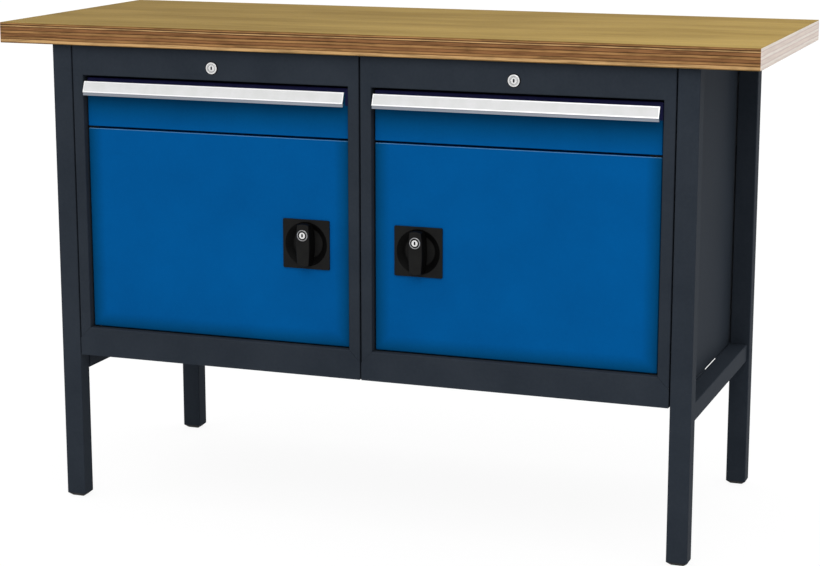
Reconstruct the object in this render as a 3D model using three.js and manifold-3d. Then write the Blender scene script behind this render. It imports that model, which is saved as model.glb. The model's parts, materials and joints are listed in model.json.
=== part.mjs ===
// Workbench on four tube legs: a thick multiplex worktop over two steel cabinets,
// each with a locking drawer above a hinged door with a turning knob.
// Millimetres, +Z up. X runs along the worktop, the fronts face -Y, the feet stand on z = 0.

import * as THREE from "three";
import { ConvexGeometry } from "three/addons/geometries/ConvexGeometry.js";
import { mergeVertices } from "three/addons/utils/BufferGeometryUtils.js";
import Module from "manifold-3d";

// Worktop
const TOP_WIDTH = 1500;
const TOP_DEPTH = 600;
const TOP_THICKNESS = 40;
const TOP_EDGE = 1.5;
const BENCH_HEIGHT = 960;

// Fits between pieces
const SEAT_GAP = 0.3;
const RUN_GAP = 0.6;
const LATCH_GAP = 0.5;

// Leg frame
const FRAME_DEPTH = 574;
const LEG_WIDTH = 40;
const LEG_DEPTH = 35;
const LEG_WALL = 2;
const RAIL_WIDTH = 35;
const RAIL_HEIGHT = 35;
const RAIL_WALL = 2;
const PACKING_LENGTH = 266;
const PACKING_RISE = 3;
const PACKING_DROP = 30;
const FOOT_HEIGHT = 7;
const FOOT_TAPER = 8;
const FOOT_PLUG = 22;

// Cabinet carcass
const CABINET_WIDTH = 598;
const CABINET_HEIGHT = 620;
const CABINET_GAP = 3;
const LEG_GAP = 2.5;
const CARCASS_SHEET = 1.5;
const STILE_WIDTH = 22;
const TOP_RAIL_HEIGHT = 59;
const TOP_RAIL_RETURN = 30;
const APRON_HEIGHT = 57;
const TOP_FLANGE = 20;
const REAR_FLANGE = 15;
const BACK_SHEET = 1.2;

// Shelf
const SHELF_RISE = 202;
const SHELF_SHEET = 1.2;
const SHELF_LIP = 25;
const SHELF_SETBACK = 33;
const SHELF_SIDE_GAP = 0.6;
const LUG_LENGTH = 14;
const LUG_REACH = 9;
const LUG_THICKNESS = 2;
const LUG_INSET = 45;

// Fronts in the opening
const FRONT_RECESS = 12;
const FRONT_SIDE_GAP = 3;
const FRONT_SPLIT = 4;
const DRAWER_TOP_GAP = 5;
const DOOR_FLOOR_GAP = 2.4;

// Drawer
const DRAWER_FRONT_HEIGHT = 95;
const DRAWER_FRONT_DEPTH = 23;
const DRAWER_SHEET = 1.2;
const DRAWER_BOX_DEPTH = 492;
const DRAWER_BOX_HEIGHT = 76;
const DRAWER_BOX_RISE = 5;
const SLIDE_ROOM = 14;

// Drawer runners
const RUNNER_RISE = 4;
const RUNNER_HEIGHT = 17.6;
const RUNNER_SHEET = 1.5;
const RUNNER_LIP = 10;
const RUNNER_MOUNT = 20;
const RUNNER_FRONT_SETBACK = 8;
const RUNNER_REAR_GAP = 17;
const SLIDE_TIP_GAP = 1.2;

// Handle strip
const HANDLE_SIDE_INSET = 2.5;
const HANDLE_TOP_DROP = 5.5;
const HANDLE_REACH = 24.8;
const HANDLE_LEAN = 8.4;
const HANDLE_FACE = 20.6;
const HANDLE_WALL = 2;
const HANDLE_RIM = 3.5;
const HANDLE_FLANGE = 21;
const HANDLE_LIP_DROP = 6.6;
const HANDLE_LIP_DEPTH = 4.2;
const HANDLE_LIP_TUCK = 2;
const HANDLE_END_CUT = 9;

// Drawer lock
const LOCK_DROP = 35;
const LOCK_FLANGE_RADIUS = 11.5;
const LOCK_FLANGE = 2.5;
const LOCK_BARREL_RADIUS = 9;
const LOCK_PLUG_RADIUS = 6.5;
const LOCK_NECK_RADIUS = 3.6;
const LOCK_NUT_RADIUS = 5.6;
const LOCK_NUT = 2.4;
const TONGUE_THICKNESS = 3;
const TONGUE_WIDTH = 15;
const TONGUE_ROOM = 1.5;
const CATCH_WIDTH = 40;
const CATCH_DROP = 4;
const CATCH_BITE = 5;
const CATCH_FOOT = 4;

// Key slots
const KEY_WIDTH = 1.8;
const KEY_HEIGHT = 7;
const KEY_DEPTH = 9;

// Door and hinge
const DOOR_THICKNESS = 25;
const DOOR_SHEET = 1.2;
const STILE_BEHIND_DOOR = 2;
const HINGE_INSET = 12;
const HINGE_SETBACK = 6;
const HINGE_PIN_RADIUS = 3;
const HINGE_COLLAR_RADIUS = 5.5;
const HINGE_PIN_DEPTH = 11;
const HINGE_PLATE = 1.6;
const HINGE_PLATE_MARGIN = 11;
const HINGE_PLATE_LENGTH = 23;
const HINGE_PLATE_FRONT = 5;
const HINGE_FLANGE = 25;

// Knob with lock and latch
const KNOB_EDGE_DISTANCE = 87;
const KNOB_HEIGHT = 195.6;
const BOWL_RADIUS = 42.5;
const BOWL_FLOOR_RADIUS = 30;
const BOWL_DEPTH = 12;
const BOWL_WALL = 2;
const BEZEL_MARGIN = 5.2;
const BEZEL_THICKNESS = 3;
const BEZEL_CORNER = 2.5;
const GRIP_REACH = 18;
const GRIP_WIDTH = 28;
const GRIP_END_WIDTH = 23;
const GRIP_EDGE = 2.5;
const GRIP_ROUND = 5;
const SPINDLE_RADIUS = 8;
const KNOB_LOCK_OFFSET = 20;
const KNOB_PLUG_RADIUS = 8.5;
const KNOB_PLUG_LENGTH = 18;
const KNOB_LOCK_FLANGE_RADIUS = 11;
const KNOB_LOCK_FLANGE = 1.6;
const LATCH_THICKNESS = 3;
const LATCH_WIDTH = 24;
const LATCH_BITE = 11;
const SPINDLE_TAIL = 1.5;

const ROUND_STEPS = 48;
const HOLE_STEPS = 24;

// Heights and depths shared by all pieces
const FRONT_Y = -FRAME_DEPTH / 2;
const REAR_Y = FRAME_DEPTH / 2;
const UNDER_TOP = BENCH_HEIGHT - TOP_THICKNESS;
const CARCASS_TOP = UNDER_TOP - SEAT_GAP;
const CARCASS_BOTTOM = UNDER_TOP - CABINET_HEIGHT;
const RAIL_TOP = CARCASS_BOTTOM - SEAT_GAP;
const HALF_CABINET = CABINET_WIDTH / 2;
const CABINET_CENTRE = CABINET_GAP / 2 + HALF_CABINET;
const LEG_INNER = CABINET_GAP / 2 + CABINET_WIDTH + LEG_GAP;
const LEG_OUTER = LEG_INNER + LEG_WIDTH;

// Opening of the front frame, measured from the middle of a cabinet
const OPEN_X = HALF_CABINET - STILE_WIDTH;
const OPEN_TOP = UNDER_TOP - TOP_RAIL_HEIGHT;
const OPEN_BOTTOM = CARCASS_BOTTOM + APRON_HEIGHT;
const WALL_INNER = HALF_CABINET - CARCASS_SHEET;
const STILE_RETURN = FRONT_RECESS + DOOR_THICKNESS + STILE_BEHIND_DOOR;
const STILE_REAR = FRONT_Y + STILE_RETURN;
const BACK_FRONT = REAR_Y - CARCASS_SHEET - SEAT_GAP - BACK_SHEET;

// Fronts
const FACE_Y = FRONT_Y + FRONT_RECESS;
const FACE_X = OPEN_X - FRONT_SIDE_GAP;
const DRAWER_TOP = OPEN_TOP - DRAWER_TOP_GAP;
const DRAWER_BOTTOM = DRAWER_TOP - DRAWER_FRONT_HEIGHT;
const DOOR_TOP = DRAWER_BOTTOM - FRONT_SPLIT;
const DOOR_BOTTOM = OPEN_BOTTOM + DOOR_FLOOR_GAP;
const DOOR_REAR = FACE_Y + DOOR_THICKNESS;

// Drawer box and runners
const BOX_X = OPEN_X - SLIDE_ROOM;
const BOX_FRONT = FACE_Y + DRAWER_FRONT_DEPTH + SEAT_GAP;
const BOX_REAR = BOX_FRONT + DRAWER_BOX_DEPTH;
const BOX_BOTTOM = DRAWER_BOTTOM + DRAWER_BOX_RISE;
const BOX_TOP = BOX_BOTTOM + DRAWER_BOX_HEIGHT;
const RUNNER_BOTTOM = BOX_BOTTOM + RUNNER_RISE;
const RUNNER_TOP = RUNNER_BOTTOM + RUNNER_HEIGHT;

// Drawer lock
const LOCK_Z = UNDER_TOP - LOCK_DROP;
const TONGUE_FRONT = BOX_FRONT + DRAWER_SHEET + TONGUE_ROOM;
const TONGUE_REAR = TONGUE_FRONT + TONGUE_THICKNESS;
const CATCH_TOP = DRAWER_TOP - CATCH_DROP;
const TONGUE_LENGTH = LOCK_Z - CATCH_TOP + CATCH_BITE;

// Hinge and knob
const HINGE_X = FACE_X - HINGE_INSET;
const HINGE_Y = FACE_Y + HINGE_SETBACK;
const HINGE_HOLE = HINGE_PIN_RADIUS + SEAT_GAP;
const HINGE_PLATE_BOTTOM = DOOR_TOP + (FRONT_SPLIT - HINGE_PLATE) / 2;
const KNOB_X = KNOB_EDGE_DISTANCE - FACE_X;
const KNOB_Z = DOOR_BOTTOM + KNOB_HEIGHT;
const BEZEL_REAR = FACE_Y - SEAT_GAP;
const BEZEL_FRONT = BEZEL_REAR - BEZEL_THICKNESS;
const BOWL_FLOOR = BEZEL_FRONT + BOWL_DEPTH;
const GRIP_FRONT = BEZEL_FRONT - GRIP_REACH;
const LATCH_FRONT = STILE_REAR + LATCH_GAP;
const LATCH_REAR = LATCH_FRONT + LATCH_THICKNESS;
const LATCH_LENGTH = OPEN_X + LATCH_BITE + KNOB_X;

// Finishes
const FINISHES = {
  plywood: { color: 0x9f8650, roughness: 0.6, metalness: 0 },
  anthracite: { color: 0x2d343c, roughness: 0.55, metalness: 0 },
  blue: { color: 0x01528f, roughness: 0.5, metalness: 0 },
  aluminium: { color: 0xdfe0e2, roughness: 0.35, metalness: 0.6 },
  blackPlastic: { color: 0x1c1c1c, roughness: 0.5, metalness: 0 },
  chrome: { color: 0xd4d6d8, roughness: 0.2, metalness: 0.9 },
  zinc: { color: 0xaeb1b4, roughness: 0.4, metalness: 0.8 },
};

const wasm = await Module();
wasm.setup();

// A shape as a solid, with one vertex per corner.
function solidOf(geometry) {
  const bare = geometry.clone();
  bare.deleteAttribute("normal");
  bare.deleteAttribute("uv");
  const welded = mergeVertices(bare, 1e-4);
  const mesh = new wasm.Mesh({
    numProp: 3,
    vertProperties: new Float32Array(welded.attributes.position.array),
    triVerts: new Uint32Array(welded.index.array),
  });
  return new wasm.Manifold(mesh);
}

function geometryOf(solid) {
  const mesh = solid.getMesh();
  const geometry = new THREE.BufferGeometry();
  geometry.setAttribute("position", new THREE.BufferAttribute(mesh.vertProperties, 3));
  geometry.setIndex(new THREE.BufferAttribute(mesh.triVerts, 1));
  const flat = geometry.toNonIndexed();
  flat.computeVertexNormals();
  return flat;
}

function joined(first, ...others) {
  const solid = others.reduce((sum, shape) => sum.add(solidOf(shape)), solidOf(first));
  return geometryOf(solid);
}

function cut(first, ...tools) {
  const solid = tools.reduce((rest, shape) => rest.subtract(solidOf(shape)), solidOf(first));
  return geometryOf(solid);
}

function shared(first, second) {
  return geometryOf(solidOf(first).intersect(solidOf(second)));
}

// A box between two coordinates on each axis.
function block([x0, x1], [y0, y1], [z0, z1]) {
  const box = new THREE.BoxGeometry(x1 - x0, y1 - y0, z1 - z0);
  return box.translate((x0 + x1) / 2, (y0 + y1) / 2, (z0 + z1) / 2);
}

function outline(points) {
  return new THREE.Shape(points.map(([u, v]) => new THREE.Vector2(u, v)));
}

function extruded(shape, length) {
  return new THREE.ExtrudeGeometry(shape, { depth: length, bevelEnabled: false, curveSegments: 8 });
}

// Prisms of an outline in one plane, along the axis that is left.
function prismZ(points, [z0, z1]) {
  return extruded(outline(points), z1 - z0).translate(0, 0, z0);
}

function prismX(points, [x0, x1]) {
  const alongX = new THREE.Matrix4().makeBasis(
    new THREE.Vector3(0, 1, 0),
    new THREE.Vector3(0, 0, 1),
    new THREE.Vector3(1, 0, 0),
  );
  return extruded(outline(points), x1 - x0).applyMatrix4(alongX).translate(x0, 0, 0);
}

function prismY(points, [y0, y1]) {
  return extruded(outline(points), y1 - y0).rotateX(Math.PI / 2).translate(0, y1, 0);
}

// Round bodies turned about an axis along Y or Z; the profile runs from axis to axis.
function turnedY(profile, steps = ROUND_STEPS) {
  const points = profile.map(([radius, y]) => new THREE.Vector2(radius, y));
  return new THREE.LatheGeometry(points, steps);
}

function turnedZ(profile, steps = HOLE_STEPS) {
  return turnedY(profile, steps).rotateX(Math.PI / 2);
}

function rodY(radius, [y0, y1], steps = ROUND_STEPS) {
  return turnedY([[0, y0], [radius, y0], [radius, y1], [0, y1]], steps);
}

function rodZ(radius, [z0, z1], steps = HOLE_STEPS) {
  return new THREE.CylinderGeometry(radius, radius, z1 - z0, steps)
    .rotateX(Math.PI / 2)
    .translate(0, 0, (z0 + z1) / 2);
}

function roundedSquare(size, corner) {
  const half = size / 2;
  const shape = new THREE.Shape();
  shape.moveTo(corner - half, -half);
  shape.lineTo(half - corner, -half);
  shape.absarc(half - corner, corner - half, corner, -Math.PI / 2, 0);
  shape.lineTo(half, half - corner);
  shape.absarc(half - corner, half - corner, corner, 0, Math.PI / 2);
  shape.lineTo(corner - half, half);
  shape.absarc(corner - half, half - corner, corner, Math.PI / 2, Math.PI);
  shape.lineTo(-half, corner - half);
  shape.absarc(corner - half, corner - half, corner, Math.PI, Math.PI * 1.5);
  return shape;
}

function tube(width, depth, wall, length) {
  const half = [width / 2, depth / 2];
  const section = outline([
    [-half[0], -half[1]],
    [half[0], -half[1]],
    [half[0], half[1]],
    [-half[0], half[1]],
  ]);
  const inner = [half[0] - wall, half[1] - wall];
  section.holes.push(outline([
    [-inner[0], -inner[1]],
    [-inner[0], inner[1]],
    [inner[0], inner[1]],
    [inner[0], -inner[1]],
  ]));
  return extruded(section, length);
}

function piece(parent, name, geometry, finish) {
  const mesh = new THREE.Mesh(geometry, new THREE.MeshStandardMaterial(FINISHES[finish]));
  mesh.name = name;
  parent.add(mesh);
  return mesh;
}

// Worktop: one thick board with its long edges eased.
function worktopShape() {
  const half = [TOP_WIDTH / 2 - TOP_EDGE, TOP_DEPTH / 2 - TOP_EDGE];
  const board = outline([
    [-half[0], -half[1]],
    [half[0], -half[1]],
    [half[0], half[1]],
    [-half[0], half[1]],
  ]);
  const options = {
    depth: TOP_THICKNESS - 2 * TOP_EDGE,
    bevelEnabled: true,
    bevelThickness: TOP_EDGE,
    bevelSize: TOP_EDGE,
    bevelSegments: 1,
  };
  return new THREE.ExtrudeGeometry(board, options).translate(0, 0, UNDER_TOP + TOP_EDGE);
}

// Foot: a tapered pad under the leg with a plug that fills the tube's end.
function footShape() {
  const corners = [];
  for (const sideX of [-1, 1]) {
    for (const sideY of [-1, 1]) {
      const [x, y] = [LEG_WIDTH / 2, LEG_DEPTH / 2];
      corners.push(new THREE.Vector3(sideX * x, sideY * y, FOOT_HEIGHT));
      corners.push(new THREE.Vector3(sideX * (x - FOOT_TAPER), sideY * (y - FOOT_TAPER), 0));
    }
  }
  const plugX = LEG_WIDTH / 2 - LEG_WALL - SEAT_GAP;
  const plugY = LEG_DEPTH / 2 - LEG_WALL - SEAT_GAP;
  const plug = block([-plugX, plugX], [-plugY, plugY], [FOOT_HEIGHT / 2, FOOT_HEIGHT + FOOT_PLUG]);
  return joined(new ConvexGeometry(corners), plug);
}

// Lower side rail: a tube from leg to leg with a packing strip against the cabinet side.
function sideRailShape() {
  const length = FRAME_DEPTH - 2 * LEG_DEPTH - 2 * SEAT_GAP;
  const rail = tube(RAIL_HEIGHT, RAIL_WIDTH, RAIL_WALL, length)
    .rotateX(Math.PI / 2)
    .rotateY(Math.PI / 2)
    .translate(LEG_INNER + RAIL_WIDTH / 2, length / 2, RAIL_TOP - RAIL_HEIGHT / 2);
  const packing = block(
    [LEG_INNER - LEG_GAP + SEAT_GAP, LEG_INNER + RAIL_WALL / 2],
    [-length / 2, PACKING_LENGTH - length / 2],
    [RAIL_TOP - PACKING_DROP, RAIL_TOP + PACKING_RISE],
  );
  return joined(rail, packing);
}

function rearRailShape() {
  const length = 2 * (LEG_INNER - SEAT_GAP);
  return tube(RAIL_HEIGHT, RAIL_WIDTH, RAIL_WALL, length)
    .rotateY(Math.PI / 2)
    .translate(-length / 2, REAR_Y - RAIL_WIDTH / 2, RAIL_TOP - RAIL_HEIGHT / 2);
}

// Cabinet side, outer hand: wall, folded stile with return, rear and top flange, shelf lugs.
function sideShape() {
  const section = prismZ([
    [OPEN_X, FRONT_Y],
    [HALF_CABINET, FRONT_Y],
    [HALF_CABINET, REAR_Y],
    [HALF_CABINET - REAR_FLANGE, REAR_Y],
    [HALF_CABINET - REAR_FLANGE, REAR_Y - CARCASS_SHEET],
    [WALL_INNER, REAR_Y - CARCASS_SHEET],
    [WALL_INNER, FRONT_Y + CARCASS_SHEET],
    [OPEN_X + CARCASS_SHEET, FRONT_Y + CARCASS_SHEET],
    [OPEN_X + CARCASS_SHEET, STILE_REAR],
    [OPEN_X, STILE_REAR],
  ], [CARCASS_BOTTOM, CARCASS_TOP]);
  const flange = block(
    [WALL_INNER - TOP_FLANGE, WALL_INNER + CARCASS_SHEET / 2],
    [STILE_REAR + SEAT_GAP, BACK_FRONT - SEAT_GAP],
    [CARCASS_TOP - CARCASS_SHEET, CARCASS_TOP],
  );
  const lugTop = OPEN_BOTTOM + SHELF_RISE - SHELF_SHEET - SEAT_GAP;
  const lugs = shelfLugCentres().map((y) => block(
    [WALL_INNER - LUG_REACH, WALL_INNER + CARCASS_SHEET / 2],
    [y - LUG_LENGTH / 2, y + LUG_LENGTH / 2],
    [lugTop - LUG_THICKNESS, lugTop],
  ));
  const mitreTop = OPEN_BOTTOM + SEAT_GAP;
  const reach = STILE_WIDTH + 1;
  const mitre = prismY([
    [OPEN_X - 1, CARCASS_BOTTOM - 1],
    [HALF_CABINET + 1, CARCASS_BOTTOM - 1],
    [HALF_CABINET + 1, mitreTop - reach],
    [OPEN_X, mitreTop],
    [OPEN_X - 1, mitreTop],
  ], [FRONT_Y - 1, FRONT_Y + CARCASS_SHEET + SEAT_GAP]);
  const returnEnd = block(
    [OPEN_X - 1, WALL_INNER - CARCASS_SHEET],
    [FRONT_Y + CARCASS_SHEET, STILE_REAR + 1],
    [CARCASS_BOTTOM - 1, mitreTop],
  );
  return cut(joined(section, flange, ...lugs), mitre, returnEnd);
}

function shelfLugCentres() {
  return [STILE_REAR + SHELF_SETBACK + LUG_INSET, BACK_FRONT - LUG_INSET];
}

// Cabinet floor: a folded sheet with a mitred apron in front and a flange behind.
function floorShape() {
  const apron = prismY([
    [-HALF_CABINET, CARCASS_BOTTOM],
    [HALF_CABINET, CARCASS_BOTTOM],
    [HALF_CABINET, OPEN_BOTTOM - STILE_WIDTH],
    [OPEN_X, OPEN_BOTTOM],
    [-OPEN_X, OPEN_BOTTOM],
    [-HALF_CABINET, OPEN_BOTTOM - STILE_WIDTH],
  ], [FRONT_Y, FRONT_Y + CARCASS_SHEET]);
  const sheetZ = [OPEN_BOTTOM - CARCASS_SHEET, OPEN_BOTTOM];
  const sheetRear = BACK_FRONT - SEAT_GAP;
  const fold = block([-OPEN_X, OPEN_X], [FRONT_Y + CARCASS_SHEET / 2, STILE_REAR], sheetZ);
  const floorX = WALL_INNER - SEAT_GAP;
  const sheet = block([-floorX, floorX], [FRONT_Y + 2 * CARCASS_SHEET, sheetRear], sheetZ);
  const flange = block(
    [-floorX, floorX],
    [sheetRear - CARCASS_SHEET, sheetRear],
    [CARCASS_BOTTOM, OPEN_BOTTOM],
  );
  const pinHole = rodZ(HINGE_HOLE, [sheetZ[0] - 1, sheetZ[1] + 1]).translate(HINGE_X, HINGE_Y, 0);
  return cut(joined(apron, fold, sheet, flange), pinHole);
}

function backShape() {
  const x = WALL_INNER - SEAT_GAP;
  return block([-x, x], [BACK_FRONT, BACK_FRONT + BACK_SHEET], [CARCASS_BOTTOM, CARCASS_TOP]);
}

// Top rail of the front frame: a channel that is open to the rear, with the lock hole.
function topRailShape() {
  const x = OPEN_X - SEAT_GAP;
  const rear = FRONT_Y + TOP_RAIL_RETURN;
  const rail = prismX([
    [FRONT_Y, OPEN_TOP],
    [rear, OPEN_TOP],
    [rear, OPEN_TOP + CARCASS_SHEET],
    [FRONT_Y + CARCASS_SHEET, OPEN_TOP + CARCASS_SHEET],
    [FRONT_Y + CARCASS_SHEET, CARCASS_TOP - CARCASS_SHEET],
    [rear, CARCASS_TOP - CARCASS_SHEET],
    [rear, CARCASS_TOP],
    [FRONT_Y, CARCASS_TOP],
  ], [-x, x]);
  const hole = rodY(LOCK_BARREL_RADIUS + SEAT_GAP, [FRONT_Y - 1, FRONT_Y + CARCASS_SHEET + 1], HOLE_STEPS)
    .translate(0, 0, LOCK_Z);
  return cut(rail, hole);
}

function shelfShape() {
  const x = WALL_INNER - SHELF_SIDE_GAP;
  const top = OPEN_BOTTOM + SHELF_RISE;
  const front = STILE_REAR + SHELF_SETBACK;
  const rear = BACK_FRONT - SHELF_SIDE_GAP;
  return prismX([
    [front, top],
    [front, top - SHELF_LIP],
    [front + SHELF_SHEET, top - SHELF_LIP],
    [front + SHELF_SHEET, top - SHELF_SHEET],
    [rear - SHELF_SHEET, top - SHELF_SHEET],
    [rear - SHELF_SHEET, top - SHELF_LIP],
    [rear, top - SHELF_LIP],
    [rear, top],
  ], [-x, x]);
}

// Runner: a channel that is open towards the drawer, hung from a flange on the cabinet wall.
function runnerShape() {
  const tip = OPEN_X - RUNNER_LIP;
  const web = OPEN_X + RUNNER_SHEET;
  const wall = WALL_INNER - SEAT_GAP;
  return prismY([
    [tip, RUNNER_BOTTOM],
    [web, RUNNER_BOTTOM],
    [web, RUNNER_TOP - RUNNER_SHEET],
    [wall, RUNNER_TOP - RUNNER_SHEET],
    [wall, RUNNER_TOP + RUNNER_MOUNT],
    [wall - RUNNER_SHEET, RUNNER_TOP + RUNNER_MOUNT],
    [wall - RUNNER_SHEET, RUNNER_TOP],
    [tip, RUNNER_TOP],
    [tip, RUNNER_TOP - RUNNER_SHEET],
    [OPEN_X, RUNNER_TOP - RUNNER_SHEET],
    [OPEN_X, RUNNER_BOTTOM + RUNNER_SHEET],
    [tip, RUNNER_BOTTOM + RUNNER_SHEET],
  ], [STILE_REAR + RUNNER_FRONT_SETBACK, REAR_Y - RUNNER_REAR_GAP]);
}

// Slide on the drawer: a channel that is open outwards and runs inside the runner.
function slideShape() {
  const web = BOX_X + SEAT_GAP;
  const tip = OPEN_X - SLIDE_TIP_GAP;
  const bottom = RUNNER_BOTTOM + RUNNER_SHEET + RUN_GAP;
  const top = RUNNER_TOP - RUNNER_SHEET - RUN_GAP;
  return prismY([
    [web, bottom],
    [tip, bottom],
    [tip, bottom + RUNNER_SHEET],
    [web + RUNNER_SHEET, bottom + RUNNER_SHEET],
    [web + RUNNER_SHEET, top - RUNNER_SHEET],
    [tip, top - RUNNER_SHEET],
    [tip, top],
    [web, top],
  ], [BOX_FRONT, BOX_REAR]);
}

// Drawer box: an open tray with a folded catch for the lock's tongue at its front wall.
function drawerBoxShape() {
  const tray = cut(
    block([-BOX_X, BOX_X], [BOX_FRONT, BOX_REAR], [BOX_BOTTOM, BOX_TOP]),
    block(
      [DRAWER_SHEET - BOX_X, BOX_X - DRAWER_SHEET],
      [BOX_FRONT + DRAWER_SHEET, BOX_REAR - DRAWER_SHEET],
      [BOX_BOTTOM + DRAWER_SHEET, BOX_TOP + 1],
    ),
  );
  const catchFront = TONGUE_REAR + TONGUE_ROOM;
  const footTop = BOX_TOP - CATCH_FOOT;
  const foot = block(
    [-CATCH_WIDTH / 2, CATCH_WIDTH / 2],
    [BOX_FRONT + DRAWER_SHEET / 2, catchFront + DRAWER_SHEET],
    [footTop - DRAWER_SHEET, footTop],
  );
  const lip = block(
    [-CATCH_WIDTH / 2, CATCH_WIDTH / 2],
    [catchFront, catchFront + DRAWER_SHEET],
    [footTop - DRAWER_SHEET / 2, CATCH_TOP],
  );
  return joined(tray, foot, lip);
}

// Drawer front: a sheet with its four edges folded back.
function drawerFrontShape() {
  const rear = FACE_Y + DRAWER_FRONT_DEPTH;
  return cut(
    block([-FACE_X, FACE_X], [FACE_Y, rear], [DRAWER_BOTTOM, DRAWER_TOP]),
    block(
      [DRAWER_SHEET - FACE_X, FACE_X - DRAWER_SHEET],
      [FACE_Y + DRAWER_SHEET, rear + 1],
      [DRAWER_BOTTOM + DRAWER_SHEET, DRAWER_TOP - DRAWER_SHEET],
    ),
  );
}

// Handle strip: leaning face with a tucked lip below; web and flange end short of its ends.
function handleShape() {
  const faceTop = DRAWER_TOP - HANDLE_TOP_DROP;
  const faceBottom = faceTop - HANDLE_FACE;
  const nose = FACE_Y - HANDLE_REACH;
  const brow = nose + HANDLE_LEAN;
  const lean = HANDLE_LEAN / HANDLE_FACE;
  const wallY = HANDLE_WALL * Math.hypot(1, lean);
  const innerAt = (z) => nose + wallY + (z - faceBottom) * lean;
  const webTop = faceTop - HANDLE_RIM;
  const webBottom = webTop - HANDLE_WALL;
  const seat = FACE_Y - SEAT_GAP;
  const lipBottom = faceBottom - HANDLE_LIP_DROP;
  const lipRear = nose + HANDLE_LIP_DEPTH;
  const x = FACE_X - HANDLE_SIDE_INSET;
  const strip = prismX([
    [brow, faceTop],
    [nose, faceBottom],
    [nose + HANDLE_LIP_TUCK, lipBottom],
    [lipRear, lipBottom],
    [lipRear, faceBottom],
    [innerAt(faceBottom), faceBottom],
    [innerAt(faceTop), faceTop],
  ], [-x, x]);
  const mount = prismX([
    [innerAt(webBottom) - wallY / 2, webBottom],
    [seat - HANDLE_WALL, webBottom],
    [seat - HANDLE_WALL, webTop - HANDLE_FLANGE],
    [seat, webTop - HANDLE_FLANGE],
    [seat, webTop],
    [innerAt(webTop) - wallY / 2, webTop],
  ], [HANDLE_END_CUT - x, x - HANDLE_END_CUT]);
  return joined(strip, mount);
}

// Lock barrel in the top rail: a bored body with a round flange in front.
function lockBarrelShape() {
  const flangeRear = FRONT_Y - SEAT_GAP;
  const rear = TONGUE_FRONT - TONGUE_ROOM / 2;
  const body = turnedY([
    [0, flangeRear - LOCK_FLANGE],
    [LOCK_FLANGE_RADIUS - 1, flangeRear - LOCK_FLANGE],
    [LOCK_FLANGE_RADIUS, flangeRear - LOCK_FLANGE + 1],
    [LOCK_FLANGE_RADIUS, flangeRear],
    [LOCK_BARREL_RADIUS, flangeRear],
    [LOCK_BARREL_RADIUS, rear],
    [0, rear],
  ]);
  const bore = rodY(LOCK_PLUG_RADIUS + SEAT_GAP, [flangeRear - LOCK_FLANGE - 1, rear + 1]);
  return cut(body, bore).translate(0, 0, LOCK_Z);
}

function keySlot(front) {
  return block(
    [-KEY_WIDTH / 2, KEY_WIDTH / 2],
    [front - 1, front + KEY_DEPTH],
    [-KEY_HEIGHT / 2, KEY_HEIGHT / 2],
  );
}

// Lock plug: key slot in front, a neck for the tongue and a nut behind it.
function lockPlugShape() {
  const front = FRONT_Y - SEAT_GAP - LOCK_FLANGE + 0.5;
  const body = turnedY([
    [0, front],
    [LOCK_PLUG_RADIUS, front],
    [LOCK_PLUG_RADIUS, TONGUE_FRONT - SEAT_GAP],
    [LOCK_NECK_RADIUS, TONGUE_FRONT - SEAT_GAP],
    [LOCK_NECK_RADIUS, TONGUE_REAR + SEAT_GAP],
    [LOCK_NUT_RADIUS, TONGUE_REAR + SEAT_GAP],
    [LOCK_NUT_RADIUS, TONGUE_REAR + SEAT_GAP + LOCK_NUT],
    [0, TONGUE_REAR + SEAT_GAP + LOCK_NUT],
  ]);
  return cut(body, keySlot(front)).translate(0, 0, LOCK_Z);
}

// Flat arm with a round boss, pointing along +X from the origin.
function armShape(length, width, holeRadius, [y0, y1]) {
  const boss = rodY(width / 2, [y0, y1], HOLE_STEPS);
  const bar = block([0, length], [y0, y1], [-width / 2, width / 2]);
  const hole = rodY(holeRadius, [y0 - 1, y1 + 1], HOLE_STEPS);
  return cut(joined(boss, bar), hole);
}

function tongueShape() {
  return armShape(TONGUE_LENGTH, TONGUE_WIDTH, LOCK_NECK_RADIUS + SEAT_GAP, [TONGUE_FRONT, TONGUE_REAR])
    .translate(0, 0, LOCK_Z);
}

// Door: a double skin with a round cut-out for the knob bowl and holes for spindle and pins.
function doorShape() {
  const inside = block(
    [DOOR_SHEET - FACE_X, FACE_X - DOOR_SHEET],
    [FACE_Y + DOOR_SHEET, DOOR_REAR - DOOR_SHEET],
    [DOOR_BOTTOM + DOOR_SHEET, DOOR_TOP - DOOR_SHEET],
  );
  const bowlHole = rodY(BOWL_RADIUS + BOWL_WALL + SEAT_GAP, [FACE_Y - 1, FACE_Y + DOOR_SHEET + 1])
    .translate(KNOB_X, 0, KNOB_Z);
  const spindleHole = rodY(SPINDLE_RADIUS + 1, [DOOR_REAR - DOOR_SHEET - 1, DOOR_REAR + 1], HOLE_STEPS)
    .translate(KNOB_X, 0, KNOB_Z);
  const pinHoles = [DOOR_BOTTOM, DOOR_TOP].map((z) => rodZ(HINGE_HOLE, [z - 2, z + 2])
    .translate(HINGE_X, HINGE_Y, 0));
  const panel = block([-FACE_X, FACE_X], [FACE_Y, DOOR_REAR], [DOOR_BOTTOM, DOOR_TOP]);
  return cut(panel, inside, bowlHole, spindleHole, ...pinHoles);
}

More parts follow.
